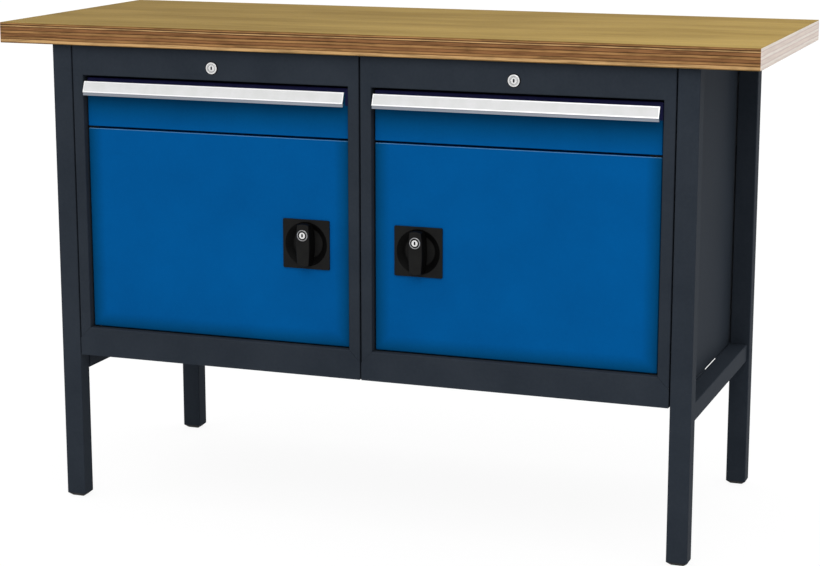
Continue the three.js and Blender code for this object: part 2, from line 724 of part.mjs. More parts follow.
// Upper hinge: an angle on the cabinet wall that reaches round the stile into the split.
function hingeBracketShape() {
  const plateTop = HINGE_PLATE_BOTTOM + HINGE_PLATE;
  const wall = WALL_INNER - SEAT_GAP;
  const behindStile = STILE_REAR + SEAT_GAP;
  const plate = prismZ([
    [HINGE_X - HINGE_PLATE_MARGIN, HINGE_Y - HINGE_PLATE_FRONT],
    [OPEN_X - SEAT_GAP, HINGE_Y - HINGE_PLATE_FRONT],
    [OPEN_X - SEAT_GAP, behindStile],
    [wall, behindStile],
    [wall, behindStile + HINGE_PLATE_LENGTH],
    [HINGE_X - HINGE_PLATE_MARGIN, behindStile + HINGE_PLATE_LENGTH],
  ], [HINGE_PLATE_BOTTOM, plateTop]);
  const flange = block(
    [wall - HINGE_PLATE, wall],
    [behindStile, behindStile + HINGE_PLATE_LENGTH],
    [plateTop - HINGE_FLANGE, plateTop],
  );
  const hole = rodZ(HINGE_HOLE, [HINGE_PLATE_BOTTOM - 1, plateTop + 1]).translate(HINGE_X, HINGE_Y, 0);
  return cut(joined(plate, flange), hole);
}

function upperPinShape() {
  return rodZ(HINGE_PIN_RADIUS, [DOOR_TOP - HINGE_PIN_DEPTH, HINGE_PLATE_BOTTOM + HINGE_PLATE])
    .translate(HINGE_X, HINGE_Y, 0);
}

// Lower pin: stands in the cabinet floor and carries the door on its collar.
function lowerPinShape() {
  const pin = rodZ(HINGE_PIN_RADIUS, [OPEN_BOTTOM - HINGE_PIN_DEPTH, DOOR_BOTTOM + HINGE_PIN_DEPTH]);
  const collar = rodZ(HINGE_COLLAR_RADIUS, [OPEN_BOTTOM + SEAT_GAP, DOOR_BOTTOM - SEAT_GAP]);
  return joined(pin, collar).translate(HINGE_X, HINGE_Y, 0);
}

// Knob housing: square bezel on the door with a round bowl sunk through it.
function knobHousingShape() {
  const bezel = extruded(roundedSquare(2 * (BOWL_RADIUS + BEZEL_MARGIN), BEZEL_CORNER), BEZEL_THICKNESS)
    .rotateX(Math.PI / 2)
    .translate(0, BEZEL_REAR, 0);
  const slope = (BOWL_RADIUS - BOWL_FLOOR_RADIUS) / BOWL_DEPTH;
  const shell = turnedY([
    [0, BEZEL_FRONT + BEZEL_THICKNESS / 2],
    [BOWL_RADIUS + BOWL_WALL, BEZEL_FRONT + BEZEL_THICKNESS / 2],
    [BOWL_RADIUS + BOWL_WALL, BEZEL_REAR + BOWL_WALL],
    [BOWL_FLOOR_RADIUS + BOWL_WALL, BOWL_FLOOR + BOWL_WALL],
    [0, BOWL_FLOOR + BOWL_WALL],
  ]);
  const hollow = turnedY([
    [0, BEZEL_FRONT - 1],
    [BOWL_RADIUS + slope, BEZEL_FRONT - 1],
    [BOWL_FLOOR_RADIUS, BOWL_FLOOR],
    [0, BOWL_FLOOR],
  ]);
  const bush = rodY(SPINDLE_RADIUS + SEAT_GAP, [BOWL_FLOOR - 1, BOWL_FLOOR + BOWL_WALL + 1]);
  return cut(joined(bezel, shell), hollow, bush);
}

// Knob grip: a boat-shaped bar in the bowl on a spindle, bored for its lock.
function knobGripShape() {
  const floor = BOWL_FLOOR - SEAT_GAP;
  const slope = (BOWL_RADIUS - BOWL_FLOOR_RADIUS) / BOWL_DEPTH;
  const gripRadius = BOWL_RADIUS - RUN_GAP - SEAT_GAP;
  const envelope = turnedY([
    [0, GRIP_FRONT],
    [gripRadius - GRIP_ROUND, GRIP_FRONT],
    [gripRadius - GRIP_ROUND * 0.3, GRIP_FRONT + GRIP_ROUND * 0.3],
    [gripRadius, GRIP_FRONT + GRIP_ROUND],
    [gripRadius, BEZEL_FRONT],
    [gripRadius - slope * (floor - BEZEL_FRONT), floor],
    [0, floor],
  ]);
  const end = GRIP_END_WIDTH / 2 - GRIP_EDGE;
  const mid = GRIP_WIDTH - GRIP_END_WIDTH / 2 - GRIP_EDGE;
  const half = BOWL_RADIUS;
  const plan = new THREE.Shape();
  plan.moveTo(-end, -half);
  plan.lineTo(end, -half);
  plan.quadraticCurveTo(mid, 0, end, half);
  plan.lineTo(-end, half);
  plan.quadraticCurveTo(-mid, 0, -end, -half);
  const bar = new THREE.ExtrudeGeometry(plan, {
    depth: floor - GRIP_FRONT,
    bevelEnabled: true,
    bevelThickness: GRIP_EDGE,
    bevelSize: GRIP_EDGE,
    bevelSegments: 2,
    curveSegments: 8,
  }).rotateX(Math.PI / 2).translate(0, floor + GRIP_EDGE, 0);
  const spindle = rodY(SPINDLE_RADIUS, [floor - 1, LATCH_REAR + SPINDLE_TAIL]);
  const boreEnd = GRIP_FRONT + KNOB_PLUG_LENGTH + SEAT_GAP;
  const bore = rodY(KNOB_PLUG_RADIUS + SEAT_GAP, [GRIP_FRONT - 1, boreEnd])
    .translate(0, 0, KNOB_LOCK_OFFSET);
  return cut(joined(shared(bar, envelope), spindle), bore);
}

// Knob lock plug: flanged in front, with a key slot.
function knobPlugShape() {
  const seat = GRIP_FRONT - SEAT_GAP;
  const front = seat - KNOB_LOCK_FLANGE;
  const body = turnedY([
    [0, front],
    [KNOB_LOCK_FLANGE_RADIUS - 0.8, front],
    [KNOB_LOCK_FLANGE_RADIUS, front + 0.8],
    [KNOB_LOCK_FLANGE_RADIUS, seat],
    [KNOB_PLUG_RADIUS, seat],
    [KNOB_PLUG_RADIUS, GRIP_FRONT + KNOB_PLUG_LENGTH],
    [0, GRIP_FRONT + KNOB_PLUG_LENGTH],
  ]);
  return cut(body, keySlot(front)).translate(0, 0, KNOB_LOCK_OFFSET);
}

// Latch arm: upright while the door is free, turned behind the inner stile to latch it.
function latchShape() {
  return armShape(LATCH_LENGTH, LATCH_WIDTH, SPINDLE_RADIUS + SEAT_GAP, [LATCH_FRONT, LATCH_REAR])
    .rotateY(-Math.PI / 2);
}

function buildFrame(bench) {
  piece(bench, "worktop", worktopShape(), "plywood");
  const legX = (LEG_INNER + LEG_OUTER) / 2;
  const legY = REAR_Y - LEG_DEPTH / 2;
  const legBottom = FOOT_HEIGHT + SEAT_GAP;
  const leg = tube(LEG_WIDTH, LEG_DEPTH, LEG_WALL, CARCASS_TOP - legBottom).translate(0, 0, legBottom);
  for (const [side, hand] of [["left", -1], ["right", 1]]) {
    for (const [end, reach] of [["front", -1], ["rear", 1]]) {
      const legMesh = piece(bench, `leg_${end}_${side}`, leg.clone(), "anthracite");
      const footMesh = piece(bench, `foot_${end}_${side}`, footShape(), "blackPlastic");
      legMesh.position.set(hand * legX, reach * legY, 0);
      footMesh.position.set(hand * legX, reach * legY, 0);
    }
    const rail = piece(bench, `side_rail_${side}`, sideRailShape(), "anthracite");
    rail.scale.x = hand;
  }
  piece(bench, "rear_rail", rearRailShape(), "anthracite");
}

// One cabinet in the right hand, its outer side towards +X; the left one is its mirror image.
function buildCabinet(bench, side, hand) {
  const cabinet = new THREE.Group();
  cabinet.name = `${side}_cabinet`;
  cabinet.position.x = hand * CABINET_CENTRE;
  cabinet.scale.x = hand;
  bench.add(cabinet);
  const add = (name, geometry, finish) => piece(cabinet, `${side}_${name}`, geometry, finish);

  add("cabinet_side_outer", sideShape(), "anthracite");
  add("cabinet_side_inner", sideShape(), "anthracite").scale.x = -1;
  add("cabinet_floor", floorShape(), "anthracite");
  add("cabinet_back", backShape(), "anthracite");
  add("cabinet_top_rail", topRailShape(), "anthracite");
  add("shelf", shelfShape(), "anthracite");
  add("runner_outer", runnerShape(), "zinc");
  add("runner_inner", runnerShape(), "zinc").scale.x = -1;

  add("drawer_box", drawerBoxShape(), "anthracite");
  add("drawer_front", drawerFrontShape(), "blue");
  add("drawer_handle", handleShape(), "aluminium");
  add("drawer_slide_outer", slideShape(), "zinc");
  add("drawer_slide_inner", slideShape(), "zinc").scale.x = -1;
  add("drawer_lock_barrel", lockBarrelShape(), "chrome");
  add("drawer_lock_plug", lockPlugShape(), "chrome");
  add("drawer_lock_tongue", tongueShape(), "zinc");

  add("door", doorShape(), "blue");
  add("hinge_bracket", hingeBracketShape(), "anthracite");
  add("hinge_pin_upper", upperPinShape(), "zinc");
  add("hinge_pin_lower", lowerPinShape(), "zinc");

  const knob = new THREE.Group();
  knob.name = `${side}_knob_set`;
  knob.position.set(KNOB_X, 0, KNOB_Z);
  cabinet.add(knob);
  piece(knob, `${side}_knob_housing`, knobHousingShape(), "blackPlastic");
  piece(knob, `${side}_knob_grip`, knobGripShape(), "blackPlastic");
  piece(knob, `${side}_knob_lock_plug`, knobPlugShape(), "chrome");
  piece(knob, `${side}_latch_arm`, latchShape(), "zinc");
}

const bench = new THREE.Group();
bench.name = "workbench";
buildFrame(bench);
buildCabinet(bench, "left", -1);
buildCabinet(bench, "right", 1);

export default bench;
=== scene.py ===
# %% [markdown]
# # A workbench with two cabinets
# This lesson dresses a finished CAD model of a workbench: a thick multiplex board on four tube legs, and
# under it two steel cabinets, each with a locking drawer above a hinged door. The CAD pieces give every
# place and every joint, so they are loaded first and never moved. Each one is then replaced by a finer
# piece that rides on the same moving body. Everything is in metres, +Z is up and the fronts face -Y.

import json
import math

import bmesh
import bpy
from mathutils import Matrix, Vector

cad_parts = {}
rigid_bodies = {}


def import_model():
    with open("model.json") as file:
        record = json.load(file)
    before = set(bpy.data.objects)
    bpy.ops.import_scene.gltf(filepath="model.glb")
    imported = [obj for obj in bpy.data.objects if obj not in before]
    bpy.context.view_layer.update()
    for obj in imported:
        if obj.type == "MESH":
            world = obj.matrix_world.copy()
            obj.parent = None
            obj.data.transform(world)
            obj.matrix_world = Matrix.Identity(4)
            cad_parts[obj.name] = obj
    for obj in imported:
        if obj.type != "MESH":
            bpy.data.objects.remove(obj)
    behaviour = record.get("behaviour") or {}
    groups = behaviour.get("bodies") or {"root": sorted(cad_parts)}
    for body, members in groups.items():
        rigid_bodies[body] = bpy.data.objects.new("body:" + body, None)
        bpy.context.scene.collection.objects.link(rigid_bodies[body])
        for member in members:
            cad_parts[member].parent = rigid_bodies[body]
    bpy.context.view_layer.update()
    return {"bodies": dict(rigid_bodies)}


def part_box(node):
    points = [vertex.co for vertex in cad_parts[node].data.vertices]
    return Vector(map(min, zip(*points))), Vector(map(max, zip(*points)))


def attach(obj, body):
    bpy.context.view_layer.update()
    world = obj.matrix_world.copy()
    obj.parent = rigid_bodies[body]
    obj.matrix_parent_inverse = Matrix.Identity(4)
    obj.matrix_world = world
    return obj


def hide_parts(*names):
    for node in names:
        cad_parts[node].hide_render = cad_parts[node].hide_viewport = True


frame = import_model()
SIDES = {"left": -1, "right": 1}

# %% [markdown]
# ## Shader maths that reads like sums
# A finish is a network of nodes, and wiring dozens of them by hand hides the idea behind it. Here one small
# class wraps a node's output, so that `1 - speckle * 0.2` adds the Math nodes by itself. The forms that start
# with r, such as rsub, are what Python calls when a plain number stands in front.

# %% Wires
class Wire:
    """One output of a node; plain arithmetic on it adds Math nodes."""

    def __init__(self, finish, socket):
        self.finish = finish
        self.socket = socket

    def math(self, operation, first, second=0.0):
        return self.finish.node("ShaderNodeMath", {"operation": operation}, {0: first, 1: second})

    def __add__(self, other):
        return self.math("ADD", self, other)

    def __sub__(self, other):
        return self.math("SUBTRACT", self, other)

    def __rsub__(self, other):
        return self.math("SUBTRACT", other, self)

    def __mul__(self, other):
        return self.math("MULTIPLY", self, other)

    def __truediv__(self, other):
        return self.math("DIVIDE", self, other)

    def __abs__(self):
        return self.math("ABSOLUTE", self)

    def least(self, other):
        return self.math("MINIMUM", self, other)

    __radd__ = __add__
    __rmul__ = __mul__


print("sums that a wire takes: + - * / abs least")

# %% [markdown]
# ## Finishes and colours
# A second class holds one material and has one method that adds any other node: settings first, then values
# or links. Its patterns read Object coordinates, so they stay on a piece when the piece moves. Every finish
# closes with the same shader and a bump in metres. Colours are written as a paint chart gives them and turned
# into linear light, because that is what Blender mixes.

# %% Finishes and colours
class Finish:
    """The node tree of a material or of the world."""

    def __init__(self, owner):
        self.owner = owner
        owner.use_nodes = True
        self.tree = owner.node_tree
        self.tree.nodes.clear()

    def node(self, kind, settings=None, inputs=None, output=0):
        added = self.tree.nodes.new(kind)
        for name, value in (settings or {}).items():
            if name == "stops":
                for extra in value[2:]:
                    added.color_ramp.elements.new(extra[0])
                for element, (place, colour) in zip(added.color_ramp.elements, value):
                    element.position, element.color = place, colour
            else:
                setattr(added, name, value)
        for name, value in (inputs or {}).items():
            if isinstance(value, Wire):
                self.tree.links.new(value.socket, added.inputs[name])
            else:
                added.inputs[name].default_value = value
        return Wire(self, added.outputs[output]) if added.outputs else None

    def along(self, axis, source="Object"):
        """One coordinate of the place on the piece."""
        place = self.node("ShaderNodeTexCoord", output=source)
        return self.node("ShaderNodeSeparateXYZ", {}, {"Vector": place}, output=axis)

    def noise(self, fineness, detail, roughness, start=0.0):
        """Noise with one fineness, or one for each axis; another start gives another cut of it."""
        per_axis = fineness if isinstance(fineness, tuple) else (fineness, fineness, fineness)
        place = self.node("ShaderNodeTexCoord", output="Object")
        shift = {"Vector": place, "Scale": per_axis, "Location": (0.0, 0.0, start)}
        grain = {"Vector": self.node("ShaderNodeMapping", {}, shift), "Scale": 1.0}
        return self.node("ShaderNodeTexNoise", {}, grain | {"Detail": detail, "Roughness": roughness})

    def ramp(self, factor, *stops):
        """A blend of colours; a stop is a place from 0 to 1 and its colour."""
        return self.node("ShaderNodeValToRGB", {"stops": sorted(stops)}, {"Fac": factor})

    def tinted(self, colour, tint):
        """Multiplies two colours; a Mix node takes them in sockets 6 and 7 and answers in socket 2."""
        settings = {"data_type": "RGBA", "blend_type": "MULTIPLY"}
        return self.node("ShaderNodeMix", settings, {0: 1.0, 6: colour, 7: tint}, output=2)

    def surface(self, bump, depth, **sockets):
        """Closes the material: a Principled shader with a bump of that depth in metres."""
        raised = {"Height": bump, "Distance": depth, "Strength": 1.0}
        sockets["Normal"] = self.node("ShaderNodeBump", {}, raised)
        named = {name.replace("_", " "): value for name, value in sockets.items()}
        shader = self.node("ShaderNodeBsdfPrincipled", {}, named)
        self.node("ShaderNodeOutputMaterial", {}, {"Surface": shader})
        return self.owner


def new_finish(name):
    return Finish(bpy.data.materials.new(name))


def linear(share):
    return share / 12.92 if share <= 0.04045 else ((share + 0.055) / 1.055) ** 2.4


def chart(red, green, blue):
    """A colour as a paint chart gives it, 0 to 255, in the linear values that Blender mixes."""
    return (linear(red / 255), linear(green / 255), linear(blue / 255), 1.0)


def grey(value):
    return (value, value, value, 1.0)


print("middle grey on the chart is", round(chart(128, 128, 128)[0], 3), "in linear light")

# %% [markdown]
# ## The camera
# The bench was photographed from a little right of its middle and just above the board, with a long lens
# that keeps the uprights nearly parallel. The camera stands where the edges of the bench fall on the same
# places of the 820 by 566 picture.

# %% Camera
CAMERA_PLACE = (1.44036, -3.96936, 1.32822)
CAMERA_PITCH = math.radians(90 - 11.979)
CAMERA_YAW = math.radians(19.994)
SENSOR_WIDTH, FOCAL_LENGTH = 36.0, 93.78

camera_lens = bpy.data.cameras.new("camera_lens")
camera_lens.sensor_width = SENSOR_WIDTH
camera_lens.lens = FOCAL_LENGTH
camera = bpy.data.objects.new("camera", camera_lens)
camera.location = CAMERA_PLACE
camera.rotation_euler = (CAMERA_PITCH, 0.0, CAMERA_YAW)
bpy.context.scene.collection.objects.link(camera)
bpy.context.scene.camera = camera

# %% [markdown]
# ## The studio
# Powder coat shows its true colour in even light, so the room itself is the main lamp: a pale world that
# shines from all sides, more from above than from the horizon, and leaves soft dark seams where sheets meet.
# One wide soft lamp adds a little direction. The camera and mirror-like metal see the room as plain white,
# and the floor stays pale but keeps part of its own shading, so the feet still stand in their shadow.

# %% World, floor and lamp
HORIZON_LIGHT, HORIZON_HEIGHT = 0.27, 0.15
CEILING_LIGHT, CEILING_HEIGHT = 1.48, 0.80
FLOOR_SIZE = 60.0
FLOOR_PALE = 0.64
FLOOR_WHITE_SHARE = 0.85
FLOOR_GLOW = 1.08
LAMP_PLACE = Vector((0.9, -3.6, 3.2))
LAMP_AIM = Vector((0.0, 0.0, 0.6))
LAMP_SIZE = 3.0
LAMP_POWER = 47


def seen_directly(finish):
    """1 where the camera, a mirror or glass looks at the background, 0 for the light it sends out."""
    looks = [finish.node("ShaderNodeLightPath", output=f"Is {ray} Ray")
             for ray in ("Camera", "Glossy", "Transmission")]
    return (looks[0] + looks[1] + looks[2]).least(1.0)


def make_room():
    room = Finish(bpy.data.worlds.new("studio_room"))
    height = room.along("Z", "Generated")
    shine = room.ramp(height, (HORIZON_HEIGHT, grey(HORIZON_LIGHT)), (CEILING_HEIGHT, grey(CEILING_LIGHT)))
    glow = room.node("ShaderNodeBackground", {}, {"Color": shine, "Strength": 1.0})
    white = room.node("ShaderNodeBackground", {}, {"Color": grey(1.0), "Strength": 1.0})
    both = room.node("ShaderNodeMixShader", {}, {0: seen_directly(room), 1: glow, 2: white})
    room.node("ShaderNodeOutputWorld", {}, {"Surface": both})
    bpy.context.scene.world = room.owner


def make_floor():
    finish = new_finish("pale_floor")
    pale = finish.node("ShaderNodeBsdfDiffuse", {}, {"Color": grey(FLOOR_PALE)})
    white = finish.node("ShaderNodeEmission", {}, {"Color": grey(1.0), "Strength": FLOOR_GLOW})
    share = seen_directly(finish) * FLOOR_WHITE_SHARE
    both = finish.node("ShaderNodeMixShader", {}, {0: share, 1: pale, 2: white})
    finish.node("ShaderNodeOutputMaterial", {}, {"Surface": both})
    bm = bmesh.new()
    bmesh.ops.create_grid(bm, x_segments=1, y_segments=1, size=FLOOR_SIZE / 2)
    mesh = bpy.data.meshes.new("studio_floor")
    bm.to_mesh(mesh)
    bm.free()
    mesh.materials.append(finish.owner)
    floor = bpy.data.objects.new("studio_floor", mesh)
    bpy.context.scene.collection.objects.link(floor)


def make_lamp():
    soft_lamp = bpy.data.lights.new("soft_lamp", "AREA")
    soft_lamp.energy = LAMP_POWER
    soft_lamp.size = LAMP_SIZE
    lamp = bpy.data.objects.new("soft_lamp", soft_lamp)
    lamp.location = LAMP_PLACE
    lamp.rotation_euler = (LAMP_AIM - LAMP_PLACE).to_track_quat("-Z", "Y").to_euler()
    bpy.context.scene.collection.objects.link(lamp)


make_room()
make_floor()
make_lamp()
bpy.context.scene.view_settings.view_transform = "Standard"
print("studio: one room, one floor, one lamp of", LAMP_POWER, "W")

# %% [markdown]
# ## Finish: the face of the multiplex board
# The worktop is a thick board glued from many beech veneers, oiled on its face. What shows is a quiet olive
# gold with long streaks along the board and very fine pores, and the left end is painted darker, a painted
# shade for light that falls from the right. Noise that is stretched along X gives the streaks: one layer for
# the broad figure, one for the grain and one for the pores, which also raise the surface a little. The short
# dark flecks that tell beech from birch are quick noise of which only the peaks are kept. The underside is
# sealed with dark resin film.

# %% Worktop face
board_low, board_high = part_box("worktop")
BOARD_GOLD = chart(162, 136, 76)
BOARD_SHADE = chart(147, 121, 64)
BOARD_PALE = chart(174, 147, 84)
# Darker tint for the left end of the board: a painted shade for light that falls from the right.
LEFT_END_SHADE = chart(220, 218, 216)
FIGURE_START = 20.68


def board_face():
    finish = new_finish("multiplex_face")
    figure = finish.noise((2.2, 9.9, 9.9), detail=4.0, roughness=0.55, start=FIGURE_START)
    grain = finish.noise((2.4, 51.0, 51.0), detail=4.0, roughness=0.55)
    pores = finish.noise((14.4, 416.0, 416.0), detail=3.0, roughness=0.6)
    flecks = finish.noise((110.0, 640.0, 640.0), detail=2.0, roughness=0.5)
    share = (finish.along("X") - board_low.x) / (board_high.x - board_low.x)
    colour = finish.ramp(figure * 0.72 + grain * 0.28,
                         (0.36, BOARD_SHADE), (0.5, BOARD_GOLD), (0.64, BOARD_PALE))
    # Darker towards the left end: painted shade.
    colour = finish.tinted(colour, finish.ramp(share, (0.1, LEFT_END_SHADE), (0.95, grey(1.0))))
    colour = finish.tinted(colour, finish.ramp(pores, (0.3, grey(0.86)), (0.6, grey(1.0))))
    colour = finish.tinted(colour, finish.ramp(flecks, (0.60, grey(1.0)), (0.68, grey(0.80))))
    return finish.surface(pores, depth=0.00008, Base_Color=colour, Roughness=pores * 0.2 + 0.6,
                          Specular_IOR_Level=0.03)


def board_film():
    finish = new_finish("sealing_film")
    mesh_marks = finish.noise(300.0, detail=2.0, roughness=0.5)
    clouds = finish.noise(6.0, detail=4.0, roughness=0.6)
    tint = finish.ramp(clouds * 0.7 + mesh_marks * 0.3, (0.35, chart(58, 48, 38)), (0.65, chart(76, 63, 50)))
    return finish.surface(mesh_marks, depth=0.00005, Base_Color=tint, Roughness=clouds * 0.2 + 0.5,
                          Specular_IOR_Level=0.1)


FACE = board_face()
FILM = board_film()
print(FACE.name, "has", len(FACE.node_tree.nodes), "nodes,", FILM.name, len(FILM.node_tree.nodes))

# %% [markdown]
# ## Finish: the edges of the board
# On the edges the veneers show as plies, light where the grain runs along the edge and dark where it is cut
# across, with thin glue lines between. The plies aren't ruled lines: they swell and dip, and dark pores
# streak them. So each ply is a share of the thickness and a tint, the height in the board is bent by slow
# noise, and a ramp with two stops per ply turns height into colour. The long edges are oiled and dark; the
# short ends are very pale, partly as bare end grain and partly as a painted highlight for light falling on
# them, so the same recipe runs again with washed-out tints.

# %% Worktop edges
BOARD_THICKNESS = board_high.z - board_low.z
PLY_WAVE = 0.045
PLY_BLEND = 0.006
GLUE, UMBER = chart(92, 62, 39), chart(124, 86, 53)
RUSSET, TAN, STRAW = chart(150, 105, 67), chart(172, 128, 81), chart(207, 165, 112)
LONG_EDGE_PLIES = (
    (0.04, UMBER), (0.13, STRAW), (0.04, UMBER), (0.09, TAN), (0.03, GLUE), (0.11, RUSSET), (0.05, UMBER),
    (0.10, TAN), (0.04, GLUE), (0.13, RUSSET), (0.04, GLUE), (0.05, STRAW), (0.05, GLUE), (0.06, TAN),
    (0.04, UMBER),
)
# Very pale end tints: partly the bare end grain, partly a painted highlight for light falling on the end.
CHALK, SHELL, ASH = chart(250, 240, 230), chart(243, 229, 218), chart(232, 214, 206)
SHORT_END_PLIES = (
    (0.12, SHELL), (0.10, CHALK), (0.06, ASH), (0.14, SHELL), (0.06, ASH), (0.12, CHALK), (0.06, ASH),
    (0.14, SHELL), (0.06, ASH), (0.14, CHALK),
)


def ply_stops(plies):
    """Two ramp stops per ply, so that plies keep an even tint and blend only at the glue."""
    stops, level = [], 0.0
    for share, tint in plies:
        stops += [(level + PLY_BLEND, tint), (level + share - PLY_BLEND, tint)]
        level += share
    return stops


def board_edge(name, plies, streak_depth):
    finish = new_finish(name)
    waves = finish.noise((4.0, 4.0, 30.0), detail=4.0, roughness=0.6) - 0.5
    level = (finish.along("Z") - board_low.z) / BOARD_THICKNESS + waves * (2 * PLY_WAVE)
    streaks = finish.noise((11.0, 11.0, 340.0), detail=4.0, roughness=0.65)
    knots = finish.noise((24.0, 24.0, 110.0), detail=3.0, roughness=0.6)
    dark = finish.ramp(streaks * 0.7 + knots * 0.3, (0.36, grey(1.0 - streak_depth)), (0.56, grey(1.0)))
    colour = finish.tinted(finish.ramp(level, *ply_stops(plies)), dark)
    return finish.surface(streaks, depth=0.00025, Base_Color=colour, Roughness=streaks * 0.25 + 0.6,
                          Specular_IOR_Level=0.04)


LONG_EDGE = board_edge("multiplex_long_edge", LONG_EDGE_PLIES, streak_depth=0.55)
SHORT_END = board_edge("multiplex_short_end", SHORT_END_PLIES, streak_depth=0.12)
print(len(LONG_EDGE_PLIES), "plies on the long edges,", len(SHORT_END_PLIES), "on the ends")

# %% [markdown]
# ## Finish: powder coat
# The steel is powder coated: anthracite on frame and cabinets, gentian blue on doors and drawers. Melted
# powder sets to a fine orange peel, a relief of hundredths of a millimetre about a millimetre across, and
# its gloss is low and uneven. The coats share a recipe: slow mottling tints the colour, quick noise gives
# the peel, and the same noise makes the gloss patchy. The doors are painted darker towards their sides and
# bottom, a painted shade for the edges of their recess, so the doors measure how far each point is from the
# rim. The drawers are painted darker below their upper edge alone, a painted shadow of rail and handle.

# %% Powder coats
PEEL_FINENESS = 900.0
PEEL_DEPTH = 0.00004
GENTIAN_BLUE = (chart(0, 82, 145), chart(0, 88, 154))
# Door rim tint: a painted shade, darker towards the door's sides and bottom.
DOOR_SHADE_TINT, DOOR_SHADE_WIDTH = chart(206, 210, 193), 0.03
# Drawer tint: a painted shadow, darker below the top edge under rail and handle.
DRAWER_SHADE_TINT, DRAWER_SHADE_REACH = chart(170, 170, 127), 0.1
door_low, door_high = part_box("right_door")
front_low, front_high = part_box("right_drawer_front")
door_shade_field = (door_low, door_high + Vector((0, 0, DOOR_SHADE_WIDTH)))
drawer_shade_field = (front_low - Vector((DRAWER_SHADE_REACH, 0, DRAWER_SHADE_REACH)),
                front_high + Vector((DRAWER_SHADE_REACH, 0, 0)))


def powder_coat(name, dark, light, field=None, shade_tint=None, shade_width=None):
    finish = new_finish(name)
    mottle = finish.noise(7.0, detail=4.0, roughness=0.6)
    peel = finish.noise(PEEL_FINENESS, detail=2.0, roughness=0.5)
    dust = finish.noise(160.0, detail=3.0, roughness=0.6)
    tint = finish.ramp(mottle * 0.7 + dust * 0.3, (0.36, dark), (0.64, light))
    # The field darkens the coat towards its rim: a painted shade.
    if field:
        low, high = field
        x, z = abs(finish.along("X")), finish.along("Z")
        rim = (x - low.x).least(high.x - x).least(z - low.z).least(high.z - z)
        tint = finish.tinted(tint, finish.ramp(rim / shade_width, (0.0, shade_tint), (1.0, grey(1.0))))
    return finish.surface(peel, PEEL_DEPTH, Base_Color=tint, Roughness=mottle * 0.16 + peel * 0.1 + 0.46,
                          Specular_IOR_Level=0.02)


ANTHRACITE_COAT = powder_coat("anthracite_powder_coat", chart(42, 48, 56), chart(49, 55, 63))
DOOR_BLUE = powder_coat("blue_door_coat", *GENTIAN_BLUE, door_shade_field, DOOR_SHADE_TINT, DOOR_SHADE_WIDTH)
DRAWER_BLUE = powder_coat("blue_drawer_coat", *GENTIAN_BLUE, drawer_shade_field, DRAWER_SHADE_TINT, DRAWER_SHADE_REACH)
# Navy: a painted shade for the gaps above and beside the drawer handles.
SHADE_STRIP_COAT = powder_coat("painted_shade_navy", chart(30, 31, 66), chart(40, 41, 80))
# Paler blue: a painted highlight on the doors' upper front bend.
HIGHLIGHT_EDGE_COAT = powder_coat("painted_highlight_blue", chart(84, 132, 172), chart(104, 150, 188))
print("orange peel every", round(1000 / PEEL_FINENESS, 1), "mm,", PEEL_DEPTH * 1e6, "micrometres deep")

# %% [markdown]
# ## Finish: bare and plated metal
# The handle strips are aluminium with hairlines along the strip, bright on the face. Behind the face, on the
# lip under it and on the web and flange they are painted grey, a painted shade for the hollows there. The
# locks are nickel plated, and runners and latches are zinc plated, with the faint leafy pattern of zinc
# crystals. A duller grey nickel is the knob lock rings' tone and the painted shade in the drawer locks'
# grooves. Otherwise the base colour is the metal's own tint, and in each the roughness carries the
# workmanship.

# %% Metals
def brushed_aluminium(name, dark, light):
    finish = new_finish(name)
    hairlines = finish.noise((3.0, 900.0, 900.0), detail=3.0, roughness=0.6)
    clouds = finish.noise((4.0, 30.0, 30.0), detail=3.0, roughness=0.5)
    tint = finish.ramp(hairlines * 0.5 + clouds * 0.5, (0.35, dark), (0.65, light))
    return finish.surface(hairlines, depth=0.00002, Base_Color=tint, Roughness=hairlines * 0.18 + 0.3,
                          Metallic=0.75)


def nickel_plate(name, dark, light, dullness):
    finish = new_finish(name)
    haze = finish.noise(420.0, detail=3.0, roughness=0.55)
    tint = finish.ramp(haze, (0.35, dark), (0.65, light))
    return finish.surface(haze, depth=0.00001, Base_Color=tint, Roughness=haze * 0.16 + dullness,
                          Metallic=1.0)


def zinc_plate():
    finish = new_finish("zinc_plate")
    place = finish.node("ShaderNodeTexCoord", output="Object")
    leaves = finish.node("ShaderNodeTexVoronoi", {"feature": "F1"}, {"Vector": place, "Scale": 130.0})
    haze = finish.noise(60.0, detail=4.0, roughness=0.6)
    tint = finish.ramp(leaves * 0.5 + haze * 0.5, (0.2, chart(160, 164, 170)), (0.7, chart(196, 199, 203)))
    return finish.surface(haze, depth=0.00003, Base_Color=tint, Metallic=0.9,
                          Roughness=leaves * 0.2 + haze * 0.15 + 0.24)


ALUMINIUM = brushed_aluminium("anodised_aluminium", chart(244, 244, 245), chart(254, 254, 254))
# Grey aluminium: a painted shade for the hollow behind the face, the lip and the mount.
SHADED_ALUMINIUM = brushed_aluminium("painted_shade_aluminium", chart(128, 133, 142), chart(152, 157, 166))
NICKEL = nickel_plate("nickel_plate", chart(212, 212, 211), chart(234, 234, 234), dullness=0.14)
# Duller nickel: the knob lock rings' tone, and a painted shade in the drawer locks' grooves.
SATIN_NICKEL_AND_SHADE = nickel_plate("satin_nickel_and_groove_shade", chart(138, 138, 139), chart(166, 166, 167), dullness=0.3)
ZINC = zinc_plate()
print("metals:", ALUMINIUM.name, SHADED_ALUMINIUM.name, NICKEL.name, SATIN_NICKEL_AND_SHADE.name, ZINC.name)

